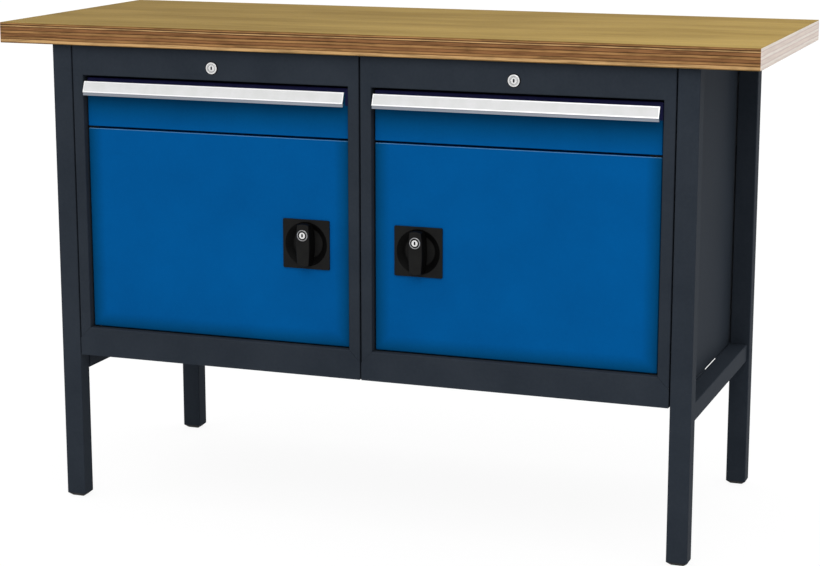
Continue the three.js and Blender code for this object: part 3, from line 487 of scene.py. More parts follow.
# %% [markdown]
# ## Finish: mouldings and label cards
# Knobs and feet are injection moulded. The mould is spark eroded, which leaves a fine even grain, and hands
# polish it where they grip. A deeper black paints the shade in the bowl behind the knob, on the grip's flanks
# and in the dark gaps round locks and hinges; it is also the black of the joint seal. A third dark finish is
# painted shade inside the key slots. The same recipe in pale grey is the blank label card under its clear
# film in the handle.

# %% Plastics
def moulded_plastic(name, dark, light, grain_depth, dullness):
    finish = new_finish(name)
    grain = finish.noise(1500.0, detail=2.0, roughness=0.5)
    handling = finish.noise(38.0, detail=3.0, roughness=0.55)
    tint = finish.ramp(handling * 0.7 + grain * 0.3, (0.36, dark), (0.64, light))
    return finish.surface(grain, grain_depth, Base_Color=tint, Specular_IOR_Level=0.08,
                          Roughness=handling * 0.2 + grain * 0.12 + dullness)


GRAINED_BLACK = moulded_plastic("grained_black_plastic", chart(20, 20, 20), chart(27, 27, 26),
                                grain_depth=0.00003, dullness=0.38)
# Deep black: painted shade in the bowl, on the grip flanks and in gaps, and the black of the joint seal.
DEEP_BLACK_AND_SHADE = moulded_plastic("black_plastic_and_painted_shade", chart(7, 7, 7), chart(12, 12, 12),
                               grain_depth=0.00001, dullness=0.34)
# Dark keyway: a painted shade inside the key slots.
KEYWAY_SHADE = moulded_plastic("painted_keyway_shade", chart(12, 12, 13), chart(22, 22, 24),
                              grain_depth=0.00002, dullness=0.4)
LABEL_CARD = moulded_plastic("label_card", chart(217, 218, 217), chart(225, 225, 226),
                             grain_depth=0.00001, dullness=0.3)
print("plastics:", GRAINED_BLACK.name, DEEP_BLACK_AND_SHADE.name, KEYWAY_SHADE.name, LABEL_CARD.name)

# %% [markdown]
# ## From a bmesh to a riding piece
# Every piece is shaped in a bmesh and then handed over the same way: its faces are shaded smooth with sharp
# edges kept, a Weighted Normal modifier keeps broad panels flat beside their rounded folds, the piece gets
# its finishes and is parented to the body it rides on, and the CAD piece it stands for is hidden. The
# cabinets mirror each other, so a piece is shaped once, on the right, and mirrored for the left.

# %% Hand over a piece
SHARP_ANGLE = math.radians(42)
WELD = 1e-7
PAINTED = ("anthracite_paint", ANTHRACITE_COAT)
ZINCED = ("zinc_steel", ZINC)


def hand_over(bm, name, body, stands_for, slot, *finishes):
    """Makes a bmesh a piece that rides on a body; stands_for is the CAD piece that it replaces, or None."""
    mesh = bpy.data.meshes.new(name)
    bmesh.ops.remove_doubles(bm, verts=bm.verts[:], dist=WELD)
    bm.to_mesh(mesh)
    bm.free()
    for finish in finishes:
        mesh.materials.append(finish)
    mesh.shade_smooth()
    mesh.set_sharp_from_angle(angle=SHARP_ANGLE)
    piece = bpy.data.objects.new(name, mesh)
    bpy.context.scene.collection.objects.link(piece)
    piece.modifiers.new("even_shading", "WEIGHTED_NORMAL").keep_sharp = True
    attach(piece, body)
    if stands_for:
        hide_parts(stands_for)


def moved(bm, x, y, z):
    bmesh.ops.translate(bm, verts=bm.verts[:], vec=(x, y, z))
    return bm


def mirrored(bm, middle=0.0):
    """Turns a right-hand piece into a left-hand one about the plane x = middle."""
    moved(bm, -middle, 0, 0)
    bmesh.ops.scale(bm, verts=bm.verts[:], vec=(-1, 1, 1))
    bmesh.ops.reverse_faces(bm, faces=bm.faces[:])
    return moved(bm, middle, 0, 0)


def on_both_sides(shape, name, body, stands_for, slot, *finishes):
    """Hands over a piece of the right cabinet and its mirror image on the left."""
    for side, hand in SIDES.items():
        bm = shape() if hand > 0 else mirrored(shape())
        rides_on = body if body in frame["bodies"] else f"{side}_{body}"
        hand_over(bm, f"{side}_{name}", rides_on, stands_for and f"{side}_{stands_for}", slot, *finishes)
    print("made", name, "on both sides")


print("pieces keep edges sharp above", round(math.degrees(SHARP_ANGLE)), "degrees")

# %% [markdown]
# ## The worktop
# The board is a slab, but its edges were broken with a router so that they don't splinter. A cube is
# stretched between the corners of the CAD board and all its edges are bevelled. The finish changes with the
# way a face looks: oiled face above, plies on the long edges, pale plies on the ends and film below.

# %% Worktop
EASED_EDGE = 0.0014
FACING = 0.9


def block(low, high):
    """A box between two corners."""
    low, high = Vector(low), Vector(high)
    bm = bmesh.new()
    bmesh.ops.create_cube(bm, size=1.0)
    bmesh.ops.scale(bm, verts=bm.verts[:], vec=high - low)
    return moved(bm, *(low + high) / 2)


def rounded(bm, edges, radius, steps=3):
    """Bevels edges to a round."""
    bmesh.ops.bevel(bm, geom=list(edges), offset=radius, offset_type="OFFSET", segments=steps,
                    profile=0.5, affect="EDGES", material=-1)
    return bm


def eased(bm, radius, steps=3):
    """Bevels every edge."""
    return rounded(bm, bm.edges, radius, steps)


def refinished(bm, finish, picked):
    """Gives faces another finish of the piece, picked by their middle and the way they look."""
    bm.normal_update()
    for face in bm.faces:
        if picked(face.calc_center_median(), face.normal):
            face.material_index = finish
    return bm


def worktop_board():
    bm = eased(block(board_low, board_high), EASED_EDGE)
    refinished(bm, 1, lambda middle, way: abs(way.z) < abs(way.y) >= abs(way.x))
    refinished(bm, 2, lambda middle, way: abs(way.z) < abs(way.x) > abs(way.y))
    return refinished(bm, 3, lambda middle, way: way.z < -FACING)


hand_over(worktop_board(), "worktop_board", "bench", "worktop", "plywood", FACE, LONG_EDGE, SHORT_END, FILM)
print("worktop", round(BOARD_THICKNESS * 1000), "mm thick")

# %% [markdown]
# ## Legs and rails
# The frame is welded from cold-formed tube, which always has rounded corners. A square is scaled to the
# section, its corners are bevelled as vertices, an inset marks the wall, the middle is taken out and the
# ring that is left is extruded along the tube. Rails are the same tube, laid down.

# %% Tubes
TUBE_WALL = 0.002
TUBE_CORNER = 0.002
LAID = {
    "x": Matrix(((0, 0, 1), (1, 0, 0), (0, 1, 0))),
    "y": Matrix(((1, 0, 0), (0, 0, 1), (0, 1, 0))),
    "z": Matrix.Identity(3),
}


def round_corners(bm, verts, radius, steps=4):
    """Bevels corners of a flat shape to a round."""
    bmesh.ops.bevel(bm, geom=list(verts), offset=radius, offset_type="OFFSET", segments=steps,
                    profile=0.5, affect="VERTICES", material=-1)
    return bm


def plate(width, depth, corner, steps=4):
    """A flat rectangle with rounded corners, square to Z."""
    bm = bmesh.new()
    bmesh.ops.create_grid(bm, x_segments=1, y_segments=1, size=0.5)
    bmesh.ops.scale(bm, verts=bm.verts[:], vec=(width, depth, 1))
    return round_corners(bm, bm.verts, corner, steps)


def outward(bm):
    """Turns all faces outwards."""
    bmesh.ops.recalc_face_normals(bm, faces=bm.faces[:])
    return bm


def only(kind, geom):
    """The verts, edges or faces among what an operator returns."""
    return [part for part in geom if isinstance(part, kind)]


def pushed(bm, faces, by, scale=(1, 1, 1)):
    """Extrudes faces along a vector, scales the new ones about their middle and returns them."""
    borders = dict.fromkeys(edge for face in faces for edge in face.edges)
    grown = bmesh.ops.extrude_face_region(bm, geom=[*faces, *borders])["geom"]
    corners = only(bmesh.types.BMVert, grown)
    bmesh.ops.translate(bm, verts=corners, vec=by)
    middle = sum((v.co for v in corners), Vector()) / len(corners)
    bmesh.ops.scale(bm, verts=corners, vec=scale, space=Matrix.Translation(-middle))
    return only(bmesh.types.BMFace, grown)


def tube(low, high, axis):
    """A tube that fills the box between two corners and runs along that axis."""
    low, high = Vector(low), Vector(high)
    width, depth = [getattr(high - low, name) for name in "xyz" if name != axis]
    length = getattr(high - low, axis)
    bm = plate(width, depth, TUBE_CORNER)
    section = bm.faces[:]
    bmesh.ops.inset_region(bm, faces=section, thickness=TUBE_WALL, use_even_offset=True, use_boundary=True)
    bmesh.ops.delete(bm, geom=section, context="FACES_ONLY")
    pushed(bm, bm.faces[:], (0, 0, length))
    moved(bm, 0, 0, -length / 2)
    bmesh.ops.rotate(bm, verts=bm.verts[:], cent=(0, 0, 0), matrix=LAID[axis])
    return outward(moved(bm, *(low + high) / 2))


LEGS = [f"{end}_{side}" for side in SIDES for end in ("front", "rear")]
for leg in LEGS:
    hand_over(tube(*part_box(f"leg_{leg}"), "z"), f"tube_leg_{leg}", "bench", f"leg_{leg}", *PAINTED)
hand_over(tube(*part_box("rear_rail"), "x"), "tube_rail_rear", "bench", "rear_rail", *PAINTED)
print("tubes of", round(TUBE_WALL * 1000), "mm wall with", round(TUBE_CORNER * 1000), "mm corners")

# %% [markdown]
# ## Side rails with their packing strips
# Each side rail stands a little off the cabinet, and a thin steel packing strip fills the front half of that
# slit. A thinner lining goes on behind it. Both are plates with broken edges. They are added to the rail's
# own bmesh, because they are welded to it before it is painted.

# %% Side rails
rear_rail_low, rear_rail_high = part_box("rear_rail")
RAIL_SIZE = rear_rail_high.z - rear_rail_low.z
PACKING_LENGTH = 0.266
PACKING_DROP = 0.030
PACKING_EDGE = 0.0003
LINING = 0.0013


def add_to(bm, other):
    """Puts the shape of another bmesh into this one."""
    lent = bpy.data.meshes.new("lent")
    other.to_mesh(lent)
    other.free()
    bm.from_mesh(lent)
    bpy.data.meshes.remove(lent)
    return bm


def add_block(bm, low, high, radius, steps=1):
    """Adds a block with broken edges."""
    return add_to(bm, eased(block(low, high), radius, steps))


def side_rail():
    low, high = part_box("side_rail_right")
    inner, top, strip_end = high.x - RAIL_SIZE, rear_rail_high.z, low.y + PACKING_LENGTH
    bm = tube((inner, low.y, top - RAIL_SIZE), (high.x, high.y, top), "y")
    add_block(bm, (low.x, low.y, top - PACKING_DROP), (inner, strip_end, high.z), PACKING_EDGE)
    return add_block(bm, (inner - LINING, strip_end, top - PACKING_DROP), (inner, high.y, top), PACKING_EDGE)


for side, hand in SIDES.items():
    rail = side_rail() if hand > 0 else mirrored(side_rail())
    hand_over(rail, f"tube_rail_{side}", "bench", f"side_rail_{side}", *PAINTED)
print("side rails with", round(PACKING_LENGTH * 1000), "mm packing strips")

# %% [markdown]
# ## Feet
# A plastic foot closes each leg: a plug inside the tube and a pad that tapers towards the floor, so that its
# rim doesn't chip. The leg's own section is extruded down and drawn in, and the same section is inset and
# extruded up for the plug. Bevels take the moulded edges.

# %% Feet
FOOT_TAPER = 0.008
FOOT_PLUG = 0.022
FOOT_PLAY = 0.0003
FOOT_EDGE = 0.0008


def foot(leg):
    leg_low, leg_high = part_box(f"leg_{leg}")
    width, depth = leg_high.x - leg_low.x, leg_high.y - leg_low.y
    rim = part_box(f"foot_{leg}")[1].z - FOOT_PLUG
    bm = plate(width, depth, TUBE_CORNER)
    pad = pushed(bm, bm.faces[:], (0, 0, -rim), (1 - 2 * FOOT_TAPER / width, 1 - 2 * FOOT_TAPER / depth, 1))
    rounded(outward(bm), pad[0].edges, FOOT_EDGE, 2)
    roof = max(bm.faces, key=lambda face: face.calc_center_median().z)
    bmesh.ops.inset_region(bm, faces=[roof], thickness=TUBE_WALL + FOOT_PLAY, use_even_offset=True)
    pushed(bm, [roof], (0, 0, FOOT_PLUG))
    middle = (leg_low + leg_high) / 2
    return outward(moved(bm, middle.x, middle.y, rim))


for leg in LEGS:
    hand_over(foot(leg), f"plastic_foot_{leg}", "bench", f"foot_{leg}", "black_plastic", GRAINED_BLACK)
print("feet taper by", round(FOOT_TAPER * 1000), "mm")

# %% [markdown]
# ## Folded sheet
# The cabinets are sheet steel on a press brake: one flat blank, bent along lines. The lesson bends it the
# same way. A panel starts as a few vertices, each flange is an edge that is extruded, the bend lines are
# bevelled to the bend radius, and only then does the skin get its thickness, inwards, so that the outside
# stays where the CAD put it.

# %% Press brake
NEAR = 1e-5
BEND = math.radians(20)
CARCASS_SHEET = 0.0015
CARCASS_BEND = 0.0024


def panel(*corners):
    """A flat blank with those corners."""
    bm = bmesh.new()
    bm.faces.new([bm.verts.new(corner) for corner in corners])
    return bm


def box_side(low, high, **plane):
    """A blank as large as one side of a box, in a plane such as x=0.6."""
    first, second = [axis for axis in "xyz" if axis not in plane]
    corners = []
    for one, other in ((low, low), (high, low), (high, high), (low, high)):
        corner = plane | {first: getattr(one, first), second: getattr(other, second)}
        corners.append([corner[axis] for axis in "xyz"])
    return panel(*corners)


def edges_on(bm, **planes):
    """Open edges that lie in all of the named planes, such as y=-0.287."""
    def lies(vert):
        return all(abs(getattr(vert.co, axis) - place) < NEAR for axis, place in planes.items())
    return [e for e in bm.edges if e.is_boundary and all(lies(vert) for vert in e.verts)]


def flange(bm, edges, by, scale=1.0):
    """Extrudes open edges and returns the new open edges; a round loop can narrow about Z as it goes."""
    grown = bmesh.ops.extrude_edge_only(bm, edges=edges)["geom"]
    corners = only(bmesh.types.BMVert, grown)
    bmesh.ops.translate(bm, verts=corners, vec=by)
    bmesh.ops.scale(bm, verts=corners, vec=(scale, scale, 1))
    return [e for e in only(bmesh.types.BMEdge, grown)
            if e.is_boundary and all(vert in corners for vert in e.verts)]


def thickened(bm, outside, sheet=CARCASS_SHEET, bend=CARCASS_BEND):
    """Rounds the bends and gives the skin its thickness; the largest panel faces outside."""
    outward(bm).normal_update()
    widest = max(bm.faces, key=lambda face: face.calc_area())
    if widest.normal.dot(Vector(outside)) < 0:
        bmesh.ops.reverse_faces(bm, faces=bm.faces[:])
    rounded(bm, [e for e in bm.edges if len(e.link_faces) == 2 and e.calc_face_angle() > BEND], bend)
    bmesh.ops.solidify(bm, geom=bm.faces[:], thickness=sheet)
    return bm


side_low, side_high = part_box("right_cabinet_side_outer")
middle_x = (side_high.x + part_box("right_cabinet_side_inner")[0].x) / 2
cabinet_width = 2 * (side_high.x - middle_x)
print("cabinet", round(cabinet_width * 1000), "mm wide of", CARCASS_SHEET * 1000, "mm sheet")

# %% [markdown]
# ## Cabinet sides
# Each side is one blank: the wall, a stile folded across the front, its return beside the door and a narrow
# flange behind. At the foot the stile is cut at 45 degrees, because it meets the apron in a mitre. So the
# wall is sliced where the mitre ends, the stile grows only from the upper edge, and its inner corner is
# lifted. A ledge under the worktop and two lugs for the shelf are welded on.

# %% Cabinet sides
floor_low, floor_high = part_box("right_cabinet_floor")
rail_low, rail_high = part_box("right_cabinet_top_rail")
shelf_low, shelf_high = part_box("right_shelf")
DOOR_GAP = 0.003
STILE = side_high.x - door_high.x - DOOR_GAP
STILE_RETURN = 0.039
REAR_FLANGE = 0.015
MITRE_GAP = 0.0006
MITRE_NOTCH = 0.001
LOWER_SETBACK = 0.004
LEDGE, LEDGE_SETBACK, LEDGE_EDGE = 0.020, 0.004, 0.0004
LUG = Vector((0.009, 0.014, 0.002))
LUG_INSET, LUG_DROP, LUG_EDGE = 0.045, 0.0015, 0.0005


def sliced(bm, axis, place, faces=None, **options):
    """Cuts some or all faces along the plane where that coordinate has that value."""
    faces = faces or bm.faces[:]
    edges = dict.fromkeys(edge for face in faces for edge in face.edges)
    verts = dict.fromkeys(vert for face in faces for vert in face.verts)
    way = Vector([float(name == axis) for name in "xyz"])
    bmesh.ops.bisect_plane(bm, geom=[*faces, *edges, *verts], plane_co=way * place, plane_no=way, **options)


def cabinet_side():
    wall_x, front, rear = side_high.x, side_low.y, side_high.y
    mitre_foot = floor_high.z - STILE + MITRE_GAP
    bm = box_side(side_low, side_high, x=wall_x)
    sliced(bm, "z", mitre_foot)
    sliced(bm, "z", mitre_foot - MITRE_NOTCH)
    for vert in bm.verts:
        if abs(vert.co.y - front) < NEAR and vert.co.z < mitre_foot - NEAR:
            vert.co.y += LOWER_SETBACK
    stile = flange(bm, edges_on(bm, y=front), (-STILE, 0, 0))
    for vert in stile[0].verts:
        if abs(vert.co.z - mitre_foot) < NEAR:
            vert.co.z += STILE
    flange(bm, stile, (0, STILE_RETURN, 0))
    flange(bm, edges_on(bm, y=rear), (-REAR_FLANGE, 0, 0))
    thickened(bm, (1, 0, 0))
    inner, top, lug_top = wall_x - CARCASS_SHEET, side_high.z, shelf_high.z - LUG_DROP
    add_block(bm, (inner - LEDGE, front + STILE_RETURN, top - CARCASS_SHEET),
              (inner, rear - LEDGE_SETBACK, top), LEDGE_EDGE)
    for y in (shelf_low.y + LUG_INSET, shelf_high.y - LUG_INSET):
        add_block(bm, (inner - LUG.x, y - LUG.y / 2, lug_top - LUG.z), (inner, y + LUG.y / 2, lug_top),
                  LUG_EDGE, 2)
    return bm


def outer_and_inner(shape, name, body, stands_for, slot, *finishes):
    """Hands over a piece at the outer wall of a cabinet and its mirror image at the inner wall."""
    on_both_sides(shape, f"{name}_outer", body, f"{stands_for}_outer", slot, *finishes)
    on_both_sides(lambda: mirrored(shape(), middle_x), f"{name}_inner", body, f"{stands_for}_inner",
                  slot, *finishes)


outer_and_inner(cabinet_side, "carcass_side", "bench", "cabinet_side", *PAINTED)

# %% [markdown]
# ## Cabinet floor with its apron
# The floor runs forward between the stiles and folds down into the apron, the broad band below the door.
# The apron is drawn first, with its two mitred corners, and the floor is then folded back from its upper
# edge, widened under the stiles' returns and again behind the stiles, and folded down at the rear. A small
# gusset is welded behind each mitre, so that no light shines through the joint.

# %% Cabinet floor
STILE_PLAY = 0.0005
BEHIND_STILE = side_low.y + STILE_RETURN + STILE_PLAY
APRON_BEND_END = side_low.y + 2 * CARCASS_BEND
UNDER_RETURN = 0.003
FLOOR_PLAY = 0.0004
GUSSET_GAP = 0.0002


def beside(bm, x, z, behind):
    """Open edges of the floor at that x, as far as they lie behind a line."""
    return [e for e in edges_on(bm, x=x, z=z) if min(v.co.y for v in e.verts) > behind]


def cabinet_floor():
    front, rear = side_low.y, floor_high.y
    bottom, top = floor_low.z, floor_high.z
    left, right = side_high.x - cabinet_width, side_high.x
    bm = panel((left, front, bottom), (right, front, bottom), (right, front, top - STILE),
               (right - STILE, front, top), (left + STILE, front, top), (left, front, top - STILE))
    lip = flange(bm, edges_on(bm, y=front, z=top), (0, BEHIND_STILE - front, 0))
    flange(bm, lip, (0, rear - BEHIND_STILE, 0))
    sliced(bm, "y", APRON_BEND_END)
    for x, reach in ((right - STILE, 1), (left + STILE, -1)):
        flange(bm, beside(bm, x, top, front + CARCASS_BEND), (reach * UNDER_RETURN, 0, 0))
        flange(bm, beside(bm, x + reach * UNDER_RETURN, top, BEHIND_STILE - NEAR),
               (reach * (STILE - UNDER_RETURN - CARCASS_SHEET - FLOOR_PLAY), 0, 0))
    flange(bm, edges_on(bm, y=rear, z=top), (0, 0, bottom - top))
    thickened(bm, (0, 0, 1))
    for outer, inward in ((left, 1), (right, -1)):
        ends = sorted((outer + inward * (CARCASS_SHEET + GUSSET_GAP), outer + inward * (STILE - GUSSET_GAP)))
        add_block(bm, (ends[0], front + CARCASS_SHEET + GUSSET_GAP, top - STILE - CARCASS_SHEET),
                  (ends[1], APRON_BEND_END - GUSSET_GAP, top - 2 * GUSSET_GAP), GUSSET_GAP)
    return bm


on_both_sides(cabinet_floor, "carcass_floor", "bench", "cabinet_floor", *PAINTED)

# %% [markdown]
# ## Top rail, shelf and back
# Three more folded blanks close the cabinet. The top rail is a channel that is open to the rear and carries
# the lock. Its ends are welded to the stiles and ground flush, so it runs on over the round of their bends.
# The shelf has lips front and back, so that it doesn't sag. The back is a flat sheet inside the rear flanges,
# with its long edges hemmed over to keep them from cutting hands. Near the back a rubber seal closes the slit
# between the two cabinets; it is an upright block with its edges rounded to a bead.

# %% Top rail, shelf and back
TOP_RAIL_RETURN = 0.030
TOP_RAIL_WELD = Vector((CARCASS_BEND + 0.0003, 0, 0))
SHELF_LIP = 0.025
SHELF_SHEET = 0.0012
HEM = 0.0004
SEAL_PLAY = 0.0002
SEAL_FRONT, SEAL_REAR = 0.022, 0.002
SEAL_BEAD = 0.6


def top_rail():
    bm = box_side(rail_low - TOP_RAIL_WELD, rail_high + TOP_RAIL_WELD, y=rail_low.y)
    for z in (rail_low.z, rail_high.z):
        flange(bm, edges_on(bm, z=z), (0, TOP_RAIL_RETURN, 0))
    return thickened(bm, (0, -1, 0))


def shelf():
    bm = box_side(shelf_low, shelf_high, z=shelf_high.z)
    for y in (shelf_low.y, shelf_high.y):
        flange(bm, edges_on(bm, y=y), (0, 0, -SHELF_LIP))
    return thickened(bm, (0, 0, 1), SHELF_SHEET)


def back_sheet():
    return eased(block(*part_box("right_cabinet_back")), HEM, 2)


def joint_seal():
    half, rear = side_high.x - cabinet_width - SEAL_PLAY, side_high.y
    bead = block((-half, rear - SEAL_FRONT, side_low.z), (half, rear - SEAL_REAR, side_high.z))
    return eased(bead, half * SEAL_BEAD)


on_both_sides(top_rail, "front_top_rail", "bench", "cabinet_top_rail", *PAINTED)
on_both_sides(shelf, "folded_shelf", "bench", "shelf", *PAINTED)
on_both_sides(back_sheet, "back_sheet", "bench", "cabinet_back", *PAINTED)
hand_over(joint_seal(), "joint_seal", "bench", None, "black_plastic", DEEP_BLACK_AND_SHADE)

# %% [markdown]
# ## Runners and slides
# A drawer runs on two pairs of rolled channels. The fixed runner is open towards the drawer and hangs from a
# bracket on the cabinet wall; the slide on the drawer is open outwards and runs between its lips. Both are
# folded from thin zinc-plated strip, so they are bent on the same press brake as the cabinet.

# %% Runners and slides
STRIP = 0.0015
STRIP_BEND = 0.0020
runner_low, runner_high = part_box("right_runner_outer")
slide_low, slide_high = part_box("right_drawer_slide_outer")
RUNNER_HEIGHT = 0.0176
RUNNER_LIP = 0.010


def channel(web_x, tip_x, low, high):
    """A U of strip along Y: an upright web with a lip to tip_x above and below."""
    bm = box_side(low, high, x=web_x)
    for z in (low.z, high.z):
        flange(bm, edges_on(bm, z=z), (tip_x - web_x, 0, 0))
    return thickened(bm, (web_x - tip_x, 0, 0), STRIP, STRIP_BEND)


def runner():
    top, web_x = runner_low.z + RUNNER_HEIGHT, runner_low.x + RUNNER_LIP + STRIP
    bm = channel(web_x, runner_low.x, runner_low, Vector((web_x, runner_high.y, top)))
    bracket = box_side(Vector((web_x, runner_low.y, top)), runner_high, z=top)
    flange(bracket, edges_on(bracket, x=runner_high.x), (0, 0, runner_high.z - top))
    return add_to(bm, thickened(bracket, (0, 0, 1), STRIP, STRIP_BEND))


def slide():
    return channel(slide_low.x, slide_high.x, slide_low, slide_high)


outer_and_inner(runner, "rolled_runner", "bench", "runner", *ZINCED)
outer_and_inner(slide, "rolled_slide", "drawer", "drawer_slide", *ZINCED)

# %% [markdown]
# ## Drawer boxes
# The drawer is a folded tray. A block with its lid taken off is the skin of the tray; its bends are rounded
# and the sheet gets its thickness inwards. Behind the front wall a small bent strip is spot welded on. It
# is the catch: when the key turns, the tongue of the lock drops between strip and wall.

# %% Drawer boxes
DRAWER_SHEET, DRAWER_BEND = 0.0012, 0.0020
CATCH_FOOT, CATCH_DEPTH, CATCH_REACH = 0.004, 0.0072, 0.020
TRAY_DEPTH = 0.076
FLAT = 0.99
box_low, box_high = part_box("right_drawer_box")
tray_top = box_low.z + TRAY_DEPTH


def looking(bm, *way):
    """The flat faces that look that way."""
    bm.normal_update()
    return [face for face in bm.faces if face.normal.dot(Vector(way)) > FLAT]


def open_block(low, high, *way):
    """A block without the face that looks that way."""
    bm = block(low, high)
    bmesh.ops.delete(bm, geom=looking(bm, *way), context="FACES_ONLY")
    return bm


def drawer_tray():
    bm = open_block(box_low, (box_high.x, box_high.y, tray_top), 0, 0, 1)
    thickened(bm, (0, 0, -1), DRAWER_SHEET, DRAWER_BEND)
    wall, foot_z = box_low.y + DRAWER_SHEET, tray_top - CATCH_FOOT
    catch_low = Vector((middle_x - CATCH_REACH, 0, foot_z))
    catch_high = Vector((middle_x + CATCH_REACH, 0, box_high.z))
    catch = box_side(catch_low, catch_high, y=wall + CATCH_DEPTH)
    flange(catch, edges_on(catch, z=foot_z), (0, -CATCH_DEPTH, 0))
    return add_to(bm, thickened(catch, (0, 1, 0), DRAWER_SHEET, DRAWER_BEND))


on_both_sides(drawer_tray, "drawer_tray", "drawer", "drawer_box", *PAINTED)

# %% [markdown]
# ## Drawer fronts
# The blue front is a shallow pan, open behind: a block without its rear face, with every bend rounded. The
# strip above the handle and the corners beside it lie in narrow gaps under the rail, so they are painted dark
# navy as painted shade. The finished skin is sliced along those lines and gets a second finish.

# %% Drawer fronts
handle_low, handle_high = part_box("right_drawer_handle")
SHADE_STRIP_HEIGHT, SHADE_STRIP_OVERLAP = 0.0088, 0.004
strip_foot = front_high.z - SHADE_STRIP_HEIGHT
corner_reach = (handle_high.x - handle_low.x) / 2 - SHADE_STRIP_OVERLAP


def drawer_pan():
    bm = thickened(open_block(front_low, front_high, 0, 1, 0), (0, -1, 0), DRAWER_SHEET, DRAWER_BEND)
    for z in (strip_foot, handle_low.z):
        sliced(bm, "z", z)
    for x in (middle_x - corner_reach, middle_x + corner_reach):
        sliced(bm, "x", x)

    # Strip and corners take the navy, a painted shade in the gaps under the rail and beside the handle.
    def in_gap(middle, way):
        beside_handle = middle.z > handle_low.z and abs(middle.x - middle_x) > corner_reach
        return beside_handle or middle.z > strip_foot
    return refinished(bm, 1, in_gap)


on_both_sides(drawer_pan, "drawer_pan", "drawer", "drawer_front", "blue_paint", DRAWER_BLUE, SHADE_STRIP_COAT)

# %% [markdown]
# ## Handle strips
# The handle is cut from an extruded aluminium profile: a leaning face with a lip tucked under it to pull on,
# and behind it a web and a flange that is riveted to the drawer. The section is a flat outline. Its corners
# are rounded as vertices while it is still flat, which is how the die of such a profile is drawn, and then it
# is extruded from end to end. The face is inset and pushed in for a label card, so a bright rim frames it.
# Web and flange are milled back at both ends, so they are a second, shorter extrusion.

# %% Handle strips
HANDLE_FACE = 0.0206
HANDLE_LEAN = 0.0084
HANDLE_WALL = 0.0020
HANDLE_RIM = 0.0035
HANDLE_FLANGE = 0.021
HANDLE_END_CUT = 0.009
LIP_DEPTH = 0.0042
LIP_TUCK = 0.0013
LIP_UNDERCUT = 0.0018
WEB_WELD = 0.001
DIE_ROUND = 0.0007
SAWN_EDGE = 0.0003
LABEL_FRAME = 0.0015
LABEL_DEPTH = 0.0004
REARWARD = 0.2
nose_z = handle_high.z - HANDLE_FACE
slope = HANDLE_LEAN / HANDLE_FACE


def behind_face(z):
    return handle_low.y + HANDLE_WALL * math.hypot(1, slope) + (z - nose_z) * slope


def extrusion(outline, left, right):
    """A section of (y, z) corners, rounded and extruded along X; the saw leaves its ends softly broken."""
    bm = panel(*[(left, y, z) for y, z in outline])
    round_corners(bm, bm.verts, DIE_ROUND)
    pushed(bm, bm.faces[:], (right - left, 0, 0))
    cut_ends = [e for e in outward(bm).edges if abs(e.verts[0].co.x - e.verts[1].co.x) < NEAR]
    return rounded(bm, cut_ends, SAWN_EDGE, 1)


def handle_strip():
    nose, seat, top, foot_z = handle_low.y, handle_high.y, handle_high.z, handle_low.z
    web_top = top - HANDLE_RIM
    web_foot, flange_foot = web_top - HANDLE_WALL, web_top - HANDLE_FLANGE
    strip = extrusion((
        (nose + HANDLE_LEAN, top), (nose, nose_z), (nose + LIP_UNDERCUT, nose_z - LIP_UNDERCUT),
        (nose + LIP_TUCK, foot_z), (nose + LIP_DEPTH, foot_z), (nose + LIP_DEPTH, nose_z),
        (behind_face(nose_z), nose_z), (behind_face(top), top),
    ), handle_low.x, handle_high.x)
    # Rear faces, lip and mount are grey, a painted shade under and behind the face.
    refinished(strip, 1, lambda middle, way: way.y > REARWARD or middle.z < nose_z - DIE_ROUND)
    face = max(strip.faces, key=lambda one: one.calc_area() * -one.normal.y)
    bmesh.ops.inset_region(strip, faces=[face], thickness=LABEL_FRAME, use_even_offset=True)
    pushed(strip, [face], -face.normal * LABEL_DEPTH)[0].material_index = 2
    mount = extrusion((
        (behind_face(web_foot) - WEB_WELD, web_foot), (seat - HANDLE_WALL, web_foot),
        (seat - HANDLE_WALL, flange_foot), (seat, flange_foot), (seat, web_top),
        (behind_face(web_top) - WEB_WELD, web_top),
    ), handle_low.x + HANDLE_END_CUT, handle_high.x - HANDLE_END_CUT)
    return add_to(strip, refinished(mount, 1, lambda middle, way: True))


on_both_sides(handle_strip, "handle_strip", "drawer", "drawer_handle", "aluminium",
              ALUMINIUM, SHADED_ALUMINIUM, LABEL_CARD)

# %% [markdown]
# ## Drawer locks
# A cam lock sits in the top rail on a thin black gasket, whose black rim paints the shade round the flange.
# What shows is a round flange with a groove painted grey, a painted shade in the groove.
# Flange and gasket are lathe work, so they are spun from a profile about the lock's axis: a chain of points
# that each give a radius and a depth.

# %% Drawer locks
TURN_STEPS = 48
TURN_WELD = 1e-6
barrel_low, barrel_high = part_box("right_drawer_lock_barrel")
lock_axis = Vector((middle_x, 0, (barrel_low.z + barrel_high.z) / 2))
LOCK_RADIUS = (barrel_high.z - barrel_low.z) / 2
BARREL_RADIUS = 0.009
LOCK_FLANGE = 0.0025
GROOVE_IN, GROOVE_OUT, GROOVE_DEPTH = 0.0076, 0.0086, 0.0005
GASKET_RADIUS, GASKET_EDGE = 0.0128, 0.0001
BORE_RADIUS = 0.0067
LOCK_BRIM = ((0.0012, 0.0), (0.0004, 0.0003), (0.0, 0.0011))
BORE_BRIM = ((0.0, 0.0003), (0.0002, 0.0))


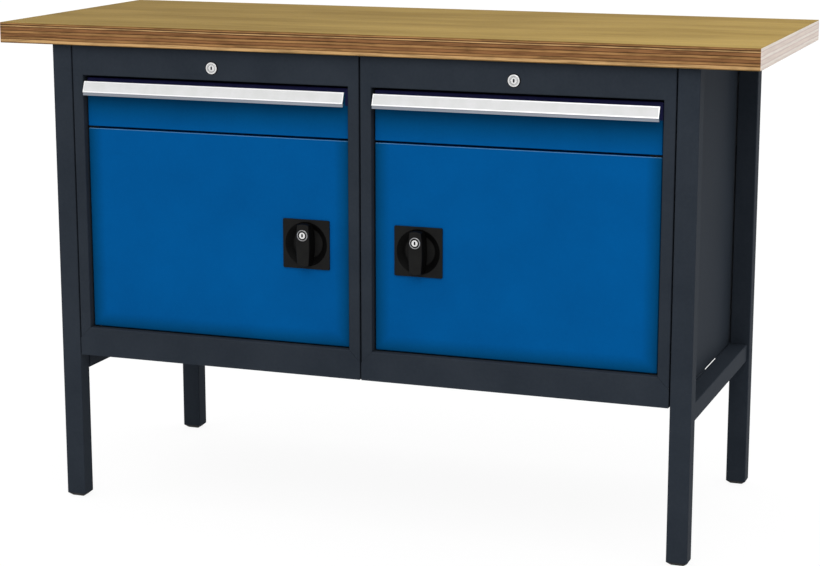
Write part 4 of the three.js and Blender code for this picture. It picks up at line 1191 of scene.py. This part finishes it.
def turned(axis, profile, steps=TURN_STEPS):
    """A body turned about a line along Y; the profile is (radius, y) pairs, from axis to axis or closed."""
    bm = bmesh.new()
    verts = [bm.verts.new((axis.x + radius, y, axis.z)) for radius, y in profile]
    closed = profile[0][0] > 0 and profile[-1][0] > 0
    pairs = list(zip(verts, verts[1:])) + ([(verts[-1], verts[0])] if closed else [])
    edges = [bm.edges.new(pair) for pair in pairs]
    bmesh.ops.spin(bm, geom=verts + edges, cent=axis, axis=(0, 1, 0), angle=math.tau, steps=steps,
                   use_merge=True, use_duplicate=False)
    bmesh.ops.remove_doubles(bm, verts=bm.verts[:], dist=TURN_WELD)
    return outward(bm)


def lock_barrel():
    front, seat, rear = barrel_low.y, barrel_low.y + LOCK_FLANGE, barrel_high.y
    groove = front + GROOVE_DEPTH
    bm = turned(lock_axis, (
        *[(BORE_RADIUS + out, front + depth) for out, depth in BORE_BRIM],
        (GROOVE_IN, front), (GROOVE_IN, groove), (GROOVE_OUT, groove), (GROOVE_OUT, front),
        *[(LOCK_RADIUS - inset, front + depth) for inset, depth in LOCK_BRIM],
        (LOCK_RADIUS, seat), (BARREL_RADIUS, seat), (BARREL_RADIUS, rear), (BORE_RADIUS, rear),
    ))

    # The groove takes the duller nickel, a painted shade.
    def in_groove(middle, way):
        reach = math.hypot(middle.x - lock_axis.x, middle.z - lock_axis.z)
        return GROOVE_IN - NEAR < reach < GROOVE_OUT + NEAR and front + NEAR < middle.y < seat
    return refinished(bm, 1, in_groove)


# The gasket's black rim is partly the real gasket and partly a painted shade round the flange.
def lock_gasket():
    front, rear = barrel_low.y + LOCK_FLANGE, side_low.y
    return turned(lock_axis, (
        (BARREL_RADIUS, rear), (BARREL_RADIUS, front), (GASKET_RADIUS - GASKET_EDGE, front),
        (GASKET_RADIUS, front + GASKET_EDGE), (GASKET_RADIUS, rear),
    ))


on_both_sides(lock_barrel, "lock_flange", "bench", "drawer_lock_barrel", "chrome", NICKEL, SATIN_NICKEL_AND_SHADE)
on_both_sides(lock_gasket, "lock_gasket", "bench", None, "black_plastic", DEEP_BLACK_AND_SHADE)

# %% [markdown]
# ## Key plugs
# In the flange sits the plug with its key slot. A lathe can't cut a slot, so the plug starts from the slot: a
# rounded rectangle loses its face, its rim is bridged to a circle, the circle is drawn back as the side of
# the plug and the rectangle is drawn in as the slot. A turned neck with a retainer holds the tongue behind.

# %% Key plugs
PLUG_STEPS, FINE_STEPS, SLOT_STEPS = 32, 24, 3
PLUG_RADIUS, PLUG_EDGE, PLUG_DISH = 0.0063, 0.0003, 0.0003
KEY_SLOT = Vector((0.0034, 0.0068))
KEY_ROUND = 0.4
KEY_DEPTH = 0.007
PLUG_PLAY, NECK_SUNK = 0.0002, 0.001
NECK_RADIUS, RETAINER_RADIUS, RETAINER_LENGTH, RETAINER_CHAMFER = 0.0036, 0.0056, 0.0024, 0.0006
plug_low, plug_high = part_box("right_drawer_lock_plug")


def opened(bm):
    """Takes the face out of a flat plate and returns the loop of edges that is left."""
    bmesh.ops.delete(bm, geom=bm.faces[:], context="FACES_ONLY")
    return bm.edges[:]


def bridged_to_circle(bm, loop, radius, steps, z=0.0):
    """Bridges a loop of edges to a new circle at that height and returns the circle's edges."""
    circle = bmesh.ops.create_circle(bm, segments=steps, radius=radius)["verts"]
    bmesh.ops.translate(bm, verts=circle, vec=(0, 0, z))
    rim = list(dict.fromkeys(edge for vert in circle for edge in vert.link_edges))
    bmesh.ops.bridge_loops(bm, edges=loop + rim)
    return rim


def faced(bm, place, quarter=1):
    """Tips a body about X, so that what was its top looks forward, and sets it in its place."""
    tip = Matrix.Rotation(quarter * math.pi / 2, 3, "X")
    bmesh.ops.rotate(bm, verts=bm.verts[:], cent=(0, 0, 0), matrix=tip)
    return moved(bm, *place)


def key_plug(axis, radius, front, rear):
    """A plug with a key slot: rim and slot are bridged, the rim runs back and the slot is pushed in."""
    bm = moved(plate(KEY_SLOT.x, KEY_SLOT.y, KEY_SLOT.x * KEY_ROUND, SLOT_STEPS), 0, 0, -PLUG_DISH)
    slot = opened(bm)
    rim = bridged_to_circle(bm, slot, radius, PLUG_STEPS)
    keyway = flange(bm, slot, (0, 0, -KEY_DEPTH))
    bmesh.ops.contextual_create(bm, geom=keyway)
    # The slot's walls and floor take the dark keyway finish, a painted shade.
    refinished(bm, 1, lambda middle, way: middle.z < -PLUG_DISH - NEAR)
    tail = flange(bm, rim, (0, 0, front - rear))
    bmesh.ops.contextual_create(bm, geom=tail)
    rounded(outward(bm), rim, PLUG_EDGE, 2)
    return faced(bm, (axis.x, front, axis.z))


def drawer_plug():
    bm = key_plug(lock_axis, PLUG_RADIUS, plug_low.y, barrel_high.y - PLUG_PLAY)
    start, rear, chamfer = barrel_high.y - NECK_SUNK, plug_high.y, RETAINER_CHAMFER
    retainer, flat = rear - RETAINER_LENGTH, RETAINER_RADIUS - chamfer
    return add_to(bm, turned(lock_axis, (
        (0, start), (NECK_RADIUS, start), (NECK_RADIUS, retainer), (flat, retainer),
        (RETAINER_RADIUS, retainer + chamfer), (RETAINER_RADIUS, rear - chamfer), (flat, rear), (0, rear),
    ), FINE_STEPS))


on_both_sides(drawer_plug, "lock_plug", "drawer_lock", "drawer_lock_plug", "chrome", NICKEL, KEYWAY_SHADE)

# %% [markdown]
# ## Lock tongues and latch arms
# Behind each lock a flat steel tongue turns with the key, and behind each door a longer arm turns with the
# knob. Both are laser-cut strips with a rounded boss: a flat outline whose corners at the boss are bevelled
# into a half circle, extruded to its thickness and deburred.

# %% Tongues and latch arms
HALF_ROUND, TIP_ROUND = 0.4999, 0.12
ARM_STEPS = 8
DEBURRED = 0.0003
CUT_EDGE = math.radians(60)


def flat_arm(node, along, across):
    """A strip in the box of a CAD piece, whose end at the lower coordinate is a half-round boss."""
    low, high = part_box(node)
    width = getattr(high - low, across)
    bm = box_side(low, high, y=low.y)
    boss = [v for v in bm.verts if abs(getattr(v.co - low, along)) < NEAR]
    tip = [v for v in bm.verts if v not in boss]
    for corners, share in ((boss, HALF_ROUND), (tip, TIP_ROUND)):
        round_corners(bm, corners, width * share, ARM_STEPS)
    pushed(bm, bm.faces[:], (0, high.y - low.y, 0))
    return rounded(bm, [e for e in outward(bm).edges if e.calc_face_angle() > CUT_EDGE], DEBURRED, 1)


on_both_sides(lambda: flat_arm("right_drawer_lock_tongue", "x", "z"), "lock_tongue", "drawer_lock",
              "drawer_lock_tongue", *ZINCED)
on_both_sides(lambda: flat_arm("right_latch_arm", "z", "x"), "latch_strip", "knob", "latch_arm", *ZINCED)

# %% [markdown]
# ## Doors
# A door is two sheets with a stiff hollow between them. The block is rounded at every bend, the front is cut
# square behind the knob, because the bowl of the knob sinks into the door, and that square is pushed in as a
# pocket. On the rear the inner sheet sits inside the folded edge, so the rear face is inset and set back. The
# upper front bend is painted a paler blue, a painted highlight where light from above catches the bend.

# %% Doors
bezel_low, bezel_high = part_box("right_knob_housing")
knob_axis = Vector(((bezel_low.x + bezel_high.x) / 2, 0, (bezel_low.z + bezel_high.z) / 2))
DOOR_BEND = 0.0022
LIT_BEND_FACING = 0.3
POCKET_HALF = 0.0455
POCKET_DEPTH = 0.0186
REAR_FRAME = 0.014
REAR_STEP = 0.0008


def door_panel():
    bm = eased(block(door_low, door_high), DOOR_BEND)
    # Upward and forward faces of the upper bend take the paler blue, a painted highlight.
    refinished(bm, 1, lambda middle, way: way.z > LIT_BEND_FACING and way.y < -LIT_BEND_FACING)
    for reach in (-POCKET_HALF, POCKET_HALF):
        sliced(bm, "x", knob_axis.x + reach, looking(bm, 0, -1, 0))
        sliced(bm, "z", knob_axis.z + reach, looking(bm, 0, -1, 0))
    from_knob = {face: face.calc_center_median() - knob_axis for face in looking(bm, 0, -1, 0)}
    pocket = [face for face, away in from_knob.items() if max(abs(away.x), abs(away.z)) < POCKET_HALF]
    pushed(bm, pocket, (0, POCKET_DEPTH, 0))
    rear = [face for face in looking(bm, 0, 1, 0) if face.calc_center_median().y > door_high.y - NEAR]
    bmesh.ops.inset_region(bm, faces=rear, thickness=REAR_FRAME, use_even_offset=True)
    pushed(bm, rear, (0, -REAR_STEP, 0))
    return bm


on_both_sides(door_panel, "door_panel", "door_leaf", "door", "blue_paint", DOOR_BLUE, HIGHLIGHT_EDGE_COAT)

# %% [markdown]
# ## Hinges
# Each door swings on two pins. The upper pin hangs in a bracket that reaches round the stile into the gap
# above the door, in a black bush; the lower one stands in the cabinet floor and carries the door on a black
# washer. The bracket is another folded blank, painted with the cabinet and black along its front edge, and
# the pins are turned. Bush, washer and the bracket's front edge are black as painted shade in the gaps round
# the door.

# %% Hinges
HINGE_PLATE, HINGE_BEND = 0.0016, 0.0022
HINGE_FLANGE = 0.025
HINGE_PLAY = 0.0003
FRONT_SHADE_FACING = 0.5
PIN_RADIUS, PIN_CHAMFER = 0.003, 0.0006
COLLAR_RADIUS, COLLAR_CHAMFER = 0.0055, 0.0002
BUSH_RADIUS, BUSH_PLAY = 0.0048, 0.0001
bracket_low, bracket_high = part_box("right_hinge_bracket")
upper_pin_low, upper_pin_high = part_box("right_hinge_pin_upper")
lower_pin_low, lower_pin_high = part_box("right_hinge_pin_lower")


def hinge_bracket():
    stile_x, top = side_high.x - STILE - HINGE_PLAY, bracket_high.z
    behind_stile = side_low.y + STILE_RETURN + HINGE_PLAY
    left, right, front, rear = bracket_low.x, bracket_high.x, bracket_low.y, bracket_high.y
    bm = panel((left, front, top), (stile_x, front, top), (stile_x, behind_stile, top),
               (right, behind_stile, top), (right, rear, top), (left, rear, top))
    flange(bm, edges_on(bm, x=right), (0, 0, -HINGE_FLANGE))
    thickened(bm, (0, 0, 1), HINGE_PLATE, HINGE_BEND)
    # The bracket's front edge is black, a painted shade in the gap above the door.
    return refinished(bm, 1, lambda middle, way: way.y < -FRONT_SHADE_FACING)


def upright_pin(low, high, *profile):
    """A body turned about an upright line through the middle of a box; the profile is (radius, z) pairs."""
    middle = (low + high) / 2
    return faced(turned(Vector(), profile, FINE_STEPS), (middle.x, middle.y, 0))


def hinge_pin(low, high, *collar):
    narrow, bottom, top = PIN_RADIUS - PIN_CHAMFER, low.z, high.z
    return upright_pin(low, high, (0, bottom), (narrow, bottom), (PIN_RADIUS, bottom + PIN_CHAMFER), *collar,
                       (PIN_RADIUS, top - PIN_CHAMFER), (narrow, top), (0, top))


def hinge_bush():
    """The black bush that fills the gap between plate and door, painted shade in that gap."""
    foot_z, top = door_high.z + BUSH_PLAY, bracket_high.z - HINGE_PLATE - BUSH_PLAY
    return upright_pin(upper_pin_low, upper_pin_high, (PIN_RADIUS, foot_z), (BUSH_RADIUS, foot_z),
                       (BUSH_RADIUS, top), (PIN_RADIUS, top))


def upper_pin():
    return hinge_pin(upper_pin_low, upper_pin_high)


def lower_pin():
    seat, top, narrow = floor_high.z + HINGE_PLAY, door_low.z - HINGE_PLAY, COLLAR_RADIUS - COLLAR_CHAMFER
    bm = hinge_pin(lower_pin_low, lower_pin_high, (PIN_RADIUS, seat), (narrow, seat),
                   (COLLAR_RADIUS, seat + COLLAR_CHAMFER), (COLLAR_RADIUS, top - COLLAR_CHAMFER),
                   (narrow, top), (PIN_RADIUS, top))
    # The collar is a black washer, and its black is also a painted shade in the gap under the door.
    return refinished(bm, 1, lambda middle, way: seat - NEAR < middle.z < top + NEAR)


on_both_sides(hinge_bracket, "hinge_plate", "bench", "hinge_bracket", *PAINTED, DEEP_BLACK_AND_SHADE)
on_both_sides(upper_pin, "hinge_stud_upper", "bench", "hinge_pin_upper", *ZINCED)
on_both_sides(hinge_bush, "hinge_bush", "bench", None, "black_plastic", DEEP_BLACK_AND_SHADE)
on_both_sides(lower_pin, "hinge_stud_lower", "bench", "hinge_pin_lower", *ZINCED, GRAINED_BLACK)

# %% [markdown]
# ## Knob housings
# The knob turns in a square black housing: a thin bezel on the door with a round bowl sunk through it, so
# that fingers reach behind the grip. The bezel's square and the bowl's rim are two loops that are bridged in
# front. The rim is then drawn down to the bowl's floor, and the same is done from behind, so that the
# housing is a closed moulding.

# %% Knob housings
BOWL_RADIUS, BOWL_FLOOR_RADIUS, BOWL_DEPTH = 0.0425, 0.030, 0.012
BOWL_PROFILE = ((0.0433, 0.0), (0.0428, 0.0003), (0.04224, 0.0012), (0.0312, 0.0105), (0.02875, BOWL_DEPTH))
BEZEL, BEZEL_CORNER, BEZEL_EDGE = 0.003, 0.0025, 0.0007
SHELL_PROFILE = ((0.0445, BEZEL), (0.0445, 0.005), (0.032, 0.014))
BOWL_SHADE_FROM, BOWL_SHADE_TO = 0.0006, 0.0119
BOWL_STEPS = 64


def sunk_loop(bm, loop, profile):
    """Bridges a loop to a circle, draws that down through (radius, depth) rings and closes the last one."""
    radius, depth = profile[0]
    ring = bridged_to_circle(bm, loop, radius, BOWL_STEPS, -depth)
    for (wide, upper), (narrow, lower) in zip(profile, profile[1:]):
        ring = flange(bm, ring, (0, 0, upper - lower), narrow / wide)
    bmesh.ops.contextual_create(bm, geom=ring)


def knob_housing():
    width = bezel_high.x - bezel_low.x
    bm = plate(width, width, BEZEL_CORNER)
    square = opened(bm)
    sunk_loop(bm, square, BOWL_PROFILE)
    sides = flange(bm, square, (0, 0, -BEZEL))
    sunk_loop(bm, sides, SHELL_PROFILE)

    # The bowl takes the deep black, a painted shade.
    def in_bowl(middle, way):
        return middle.xy.length < BOWL_RADIUS and BOWL_SHADE_FROM < -middle.z < BOWL_SHADE_TO
    refinished(outward(bm), 1, in_bowl)
    rounded(bm, square, BEZEL_EDGE)
    return faced(bm, (knob_axis.x, bezel_low.y, knob_axis.z))


on_both_sides(knob_housing, "knob_bezel", "door_leaf", "knob_housing", "black_plastic",
              GRAINED_BLACK, DEEP_BLACK_AND_SHADE)

# %% [markdown]
# ## Knob grips
# The grip is a bar across the bowl, a little wider in its middle than at its ends. A disc is trimmed on both
# sides to a bar with round ends, its long sides are subdivided and drawn in towards the ends, and the bar is
# extruded twice: straight back to the bezel and on, ever narrower, into the bowl. The rim of the face gets a
# generous round, because a hand turns it. A turned spindle runs on through the door.

# %% Knob grips
grip_low, grip_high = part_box("right_knob_grip")
GRIP_HALF_WIDTH = 0.014
GRIP_END_SHARE = 0.82
GRIP_RADIUS = 0.0416
GRIP_ROUND = 0.0032
GRIP_PLAY = 0.0003
GRIP_CUTS = 9
FOOT_SHARE = (0.96, 1 - (BOWL_RADIUS - BOWL_FLOOR_RADIUS) / GRIP_RADIUS, 1)
SPINDLE_RADIUS, SPINDLE_CHAMFER, SPINDLE_SUNK, SPINDLE_STEPS = 0.008, 0.0006, 0.002, 32
bowl_floor_y = bezel_low.y + BOWL_DEPTH


def knob_grip():
    bm = bmesh.new()
    bmesh.ops.create_circle(bm, cap_ends=True, segments=BOWL_STEPS, radius=GRIP_RADIUS)
    sliced(bm, "x", GRIP_HALF_WIDTH, clear_outer=True)
    sliced(bm, "x", -GRIP_HALF_WIDTH, clear_inner=True)
    flanks = edges_on(bm, x=GRIP_HALF_WIDTH) + edges_on(bm, x=-GRIP_HALF_WIDTH)
    bmesh.ops.subdivide_edges(bm, edges=flanks, cuts=GRIP_CUTS)
    for vert in bm.verts:
        vert.co.x *= 1 - (1 - GRIP_END_SHARE) * (vert.co.y / GRIP_RADIUS) ** 2
    waist = pushed(outward(bm), bm.faces[:], (0, 0, bezel_low.y - grip_low.y))
    pushed(bm, waist, (0, 0, bowl_floor_y - GRIP_PLAY - bezel_low.y), FOOT_SHARE)
    # The grip's flanks take the deep black, a painted shade beside the grip.
    refinished(outward(bm), 1, lambda middle, way: abs(way.z) < FACING)
    rim = [e for e in bm.edges if all(abs(v.co.z) < NEAR for v in e.verts)]
    rounded(bm, rim, GRIP_ROUND, 4)
    faced(bm, (knob_axis.x, grip_low.y, knob_axis.z), quarter=-1)
    start, rear = bowl_floor_y - SPINDLE_SUNK, grip_high.y
    return add_to(bm, turned(knob_axis, (
        (0, start), (SPINDLE_RADIUS, start), (SPINDLE_RADIUS, rear - SPINDLE_CHAMFER),
        (SPINDLE_RADIUS - SPINDLE_CHAMFER, rear), (0, rear),
    ), SPINDLE_STEPS))


on_both_sides(knob_grip, "knob_handle", "knob", "knob_grip", "black_plastic", GRAINED_BLACK, DEEP_BLACK_AND_SHADE)

# %% [markdown]
# ## Knob locks
# A small cylinder lock sits in the upper half of each grip: a bright ring that stays with the grip, a dark
# gap, and the plug that turns with the key. Ring and plug are separate pieces, because they move apart.

# %% Knob locks
key_low, key_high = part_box("right_knob_lock_plug")
key_axis = Vector((knob_axis.x, 0, (key_low.z + key_high.z) / 2))
RING_RADIUS, RING_BORE, RING_DEPTH = (key_high.z - key_low.z) / 2, 0.0087, 0.0022
RING_BRIM = ((0.0012, 0.0), (0.0004, 0.0004), (0.0, 0.0012))
RING_THROAT = ((0.0, 0.0009), (0.0004, 0.0002), (0.0010, 0.0))
KNOB_PLUG_RADIUS, KNOB_PLUG_SUNK = 0.0062, 0.0002
SLEEVE_BORE, SLEEVE_FRONT, SLEEVE_REAR = KNOB_PLUG_RADIUS + 0.0001, key_low.y + 0.0013, key_low.y + 0.0024


def knob_lock_ring():
    front, seat = key_low.y, key_low.y + RING_DEPTH
    return turned(key_axis, (
        (RING_BORE, seat), *[(RING_BORE + out, front + depth) for out, depth in RING_THROAT],
        *[(RING_RADIUS - inset, front + depth) for inset, depth in RING_BRIM], (RING_RADIUS, seat),
    ))


def knob_lock_sleeve():
    """The black sleeve between ring and plug, painted shade in the gap."""
    return turned(key_axis, ((SLEEVE_BORE, SLEEVE_REAR), (SLEEVE_BORE, SLEEVE_FRONT),
                             (RING_BORE, SLEEVE_FRONT), (RING_BORE, SLEEVE_REAR)))


def knob_lock_core():
    return key_plug(key_axis, KNOB_PLUG_RADIUS, key_low.y + KNOB_PLUG_SUNK, key_high.y)


on_both_sides(knob_lock_ring, "knob_lock_ring", "knob", None, "chrome", SATIN_NICKEL_AND_SHADE)
on_both_sides(knob_lock_sleeve, "knob_lock_sleeve", "knob", None, "black_plastic", DEEP_BLACK_AND_SHADE)
on_both_sides(knob_lock_core, "knob_lock_core", "knob_lock", "knob_lock_plug", "chrome", NICKEL, KEYWAY_SHADE)

# %% [markdown]
# ## Rivets, screws and nuts
# Small hardware tells how sheet metal is put together. The rear flanges of the cabinet are riveted to the
# back sheet that lies inside them, two screws through the drawer's front wall hold the blue front, and a cap
# nut on the spindle clamps the latch. Rivets and screw heads are turned like the locks. The nut is a circle
# with six corners that is extruded, bevelled and laid over onto the axis of the knob.

# %% Rivets, screws and nuts
RIVET_HEAD = ((0, 0), (0.0032, 0), (0.0032, 0.0004), (0.0022, 0.0010), (0.0011, 0.0013), (0.0009, 0.0004),
              (0, 0.0004))
SCREW_HEAD = ((0, 0), (0.0042, 0), (0.0042, 0.0008), (0.0032, 0.0020), (0.0018, 0.0023), (0.0015, 0.0010),
              (0, 0.0010))
RIVET_ROWS, RIVET_INSET, RIVET_STEPS = 6, 0.030, 20
SCREW_PLACES = (0.3, 0.7)
NUT_CORNERS = 6
NUT_RADIUS, NUT_HEIGHT, NUT_EDGE = 0.0098, 0.004, 0.0006
back_low, back_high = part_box("right_cabinet_back")


def add_head(bm, x, seat, z, profile, steps):
    """Adds a head that stands on a wall facing the rear; its profile is (radius, height) pairs."""
    add_to(bm, turned(Vector((x, 0, z)), [(radius, seat + height) for radius, height in profile], steps))


def back_rivets():
    bm = bmesh.new()
    pitch = (back_high.z - back_low.z - 2 * RIVET_INSET) / (RIVET_ROWS - 1)
    to_flange = side_high.x - middle_x - REAR_FLANGE / 2
    for x in (middle_x - to_flange, middle_x + to_flange):
        for row in range(RIVET_ROWS):
            add_head(bm, x, side_high.y, back_low.z + RIVET_INSET + row * pitch, RIVET_HEAD, RIVET_STEPS)
    return bm


def front_screws():
    bm = bmesh.new()
    for share in SCREW_PLACES:
        x = box_low.x + (box_high.x - box_low.x) * share
        add_head(bm, x, box_low.y + DRAWER_SHEET, (box_low.z + tray_top) / 2, SCREW_HEAD, FINE_STEPS)
    return bm


def latch_nut():
    bm = bmesh.new()
    bmesh.ops.create_circle(bm, cap_ends=True, segments=NUT_CORNERS, radius=NUT_RADIUS)
    pushed(moved(bm, 0, 0, -NUT_HEIGHT), bm.faces[:], (0, 0, NUT_HEIGHT))
    eased(outward(bm), NUT_EDGE, 2)
    return faced(bm, (knob_axis.x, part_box("right_latch_arm")[1].y, knob_axis.z))


on_both_sides(back_rivets, "back_rivets", "bench", None, *ZINCED)
on_both_sides(front_screws, "front_screws", "drawer", None, *ZINCED)
on_both_sides(latch_nut, "latch_nut", "knob", None, *ZINCED)
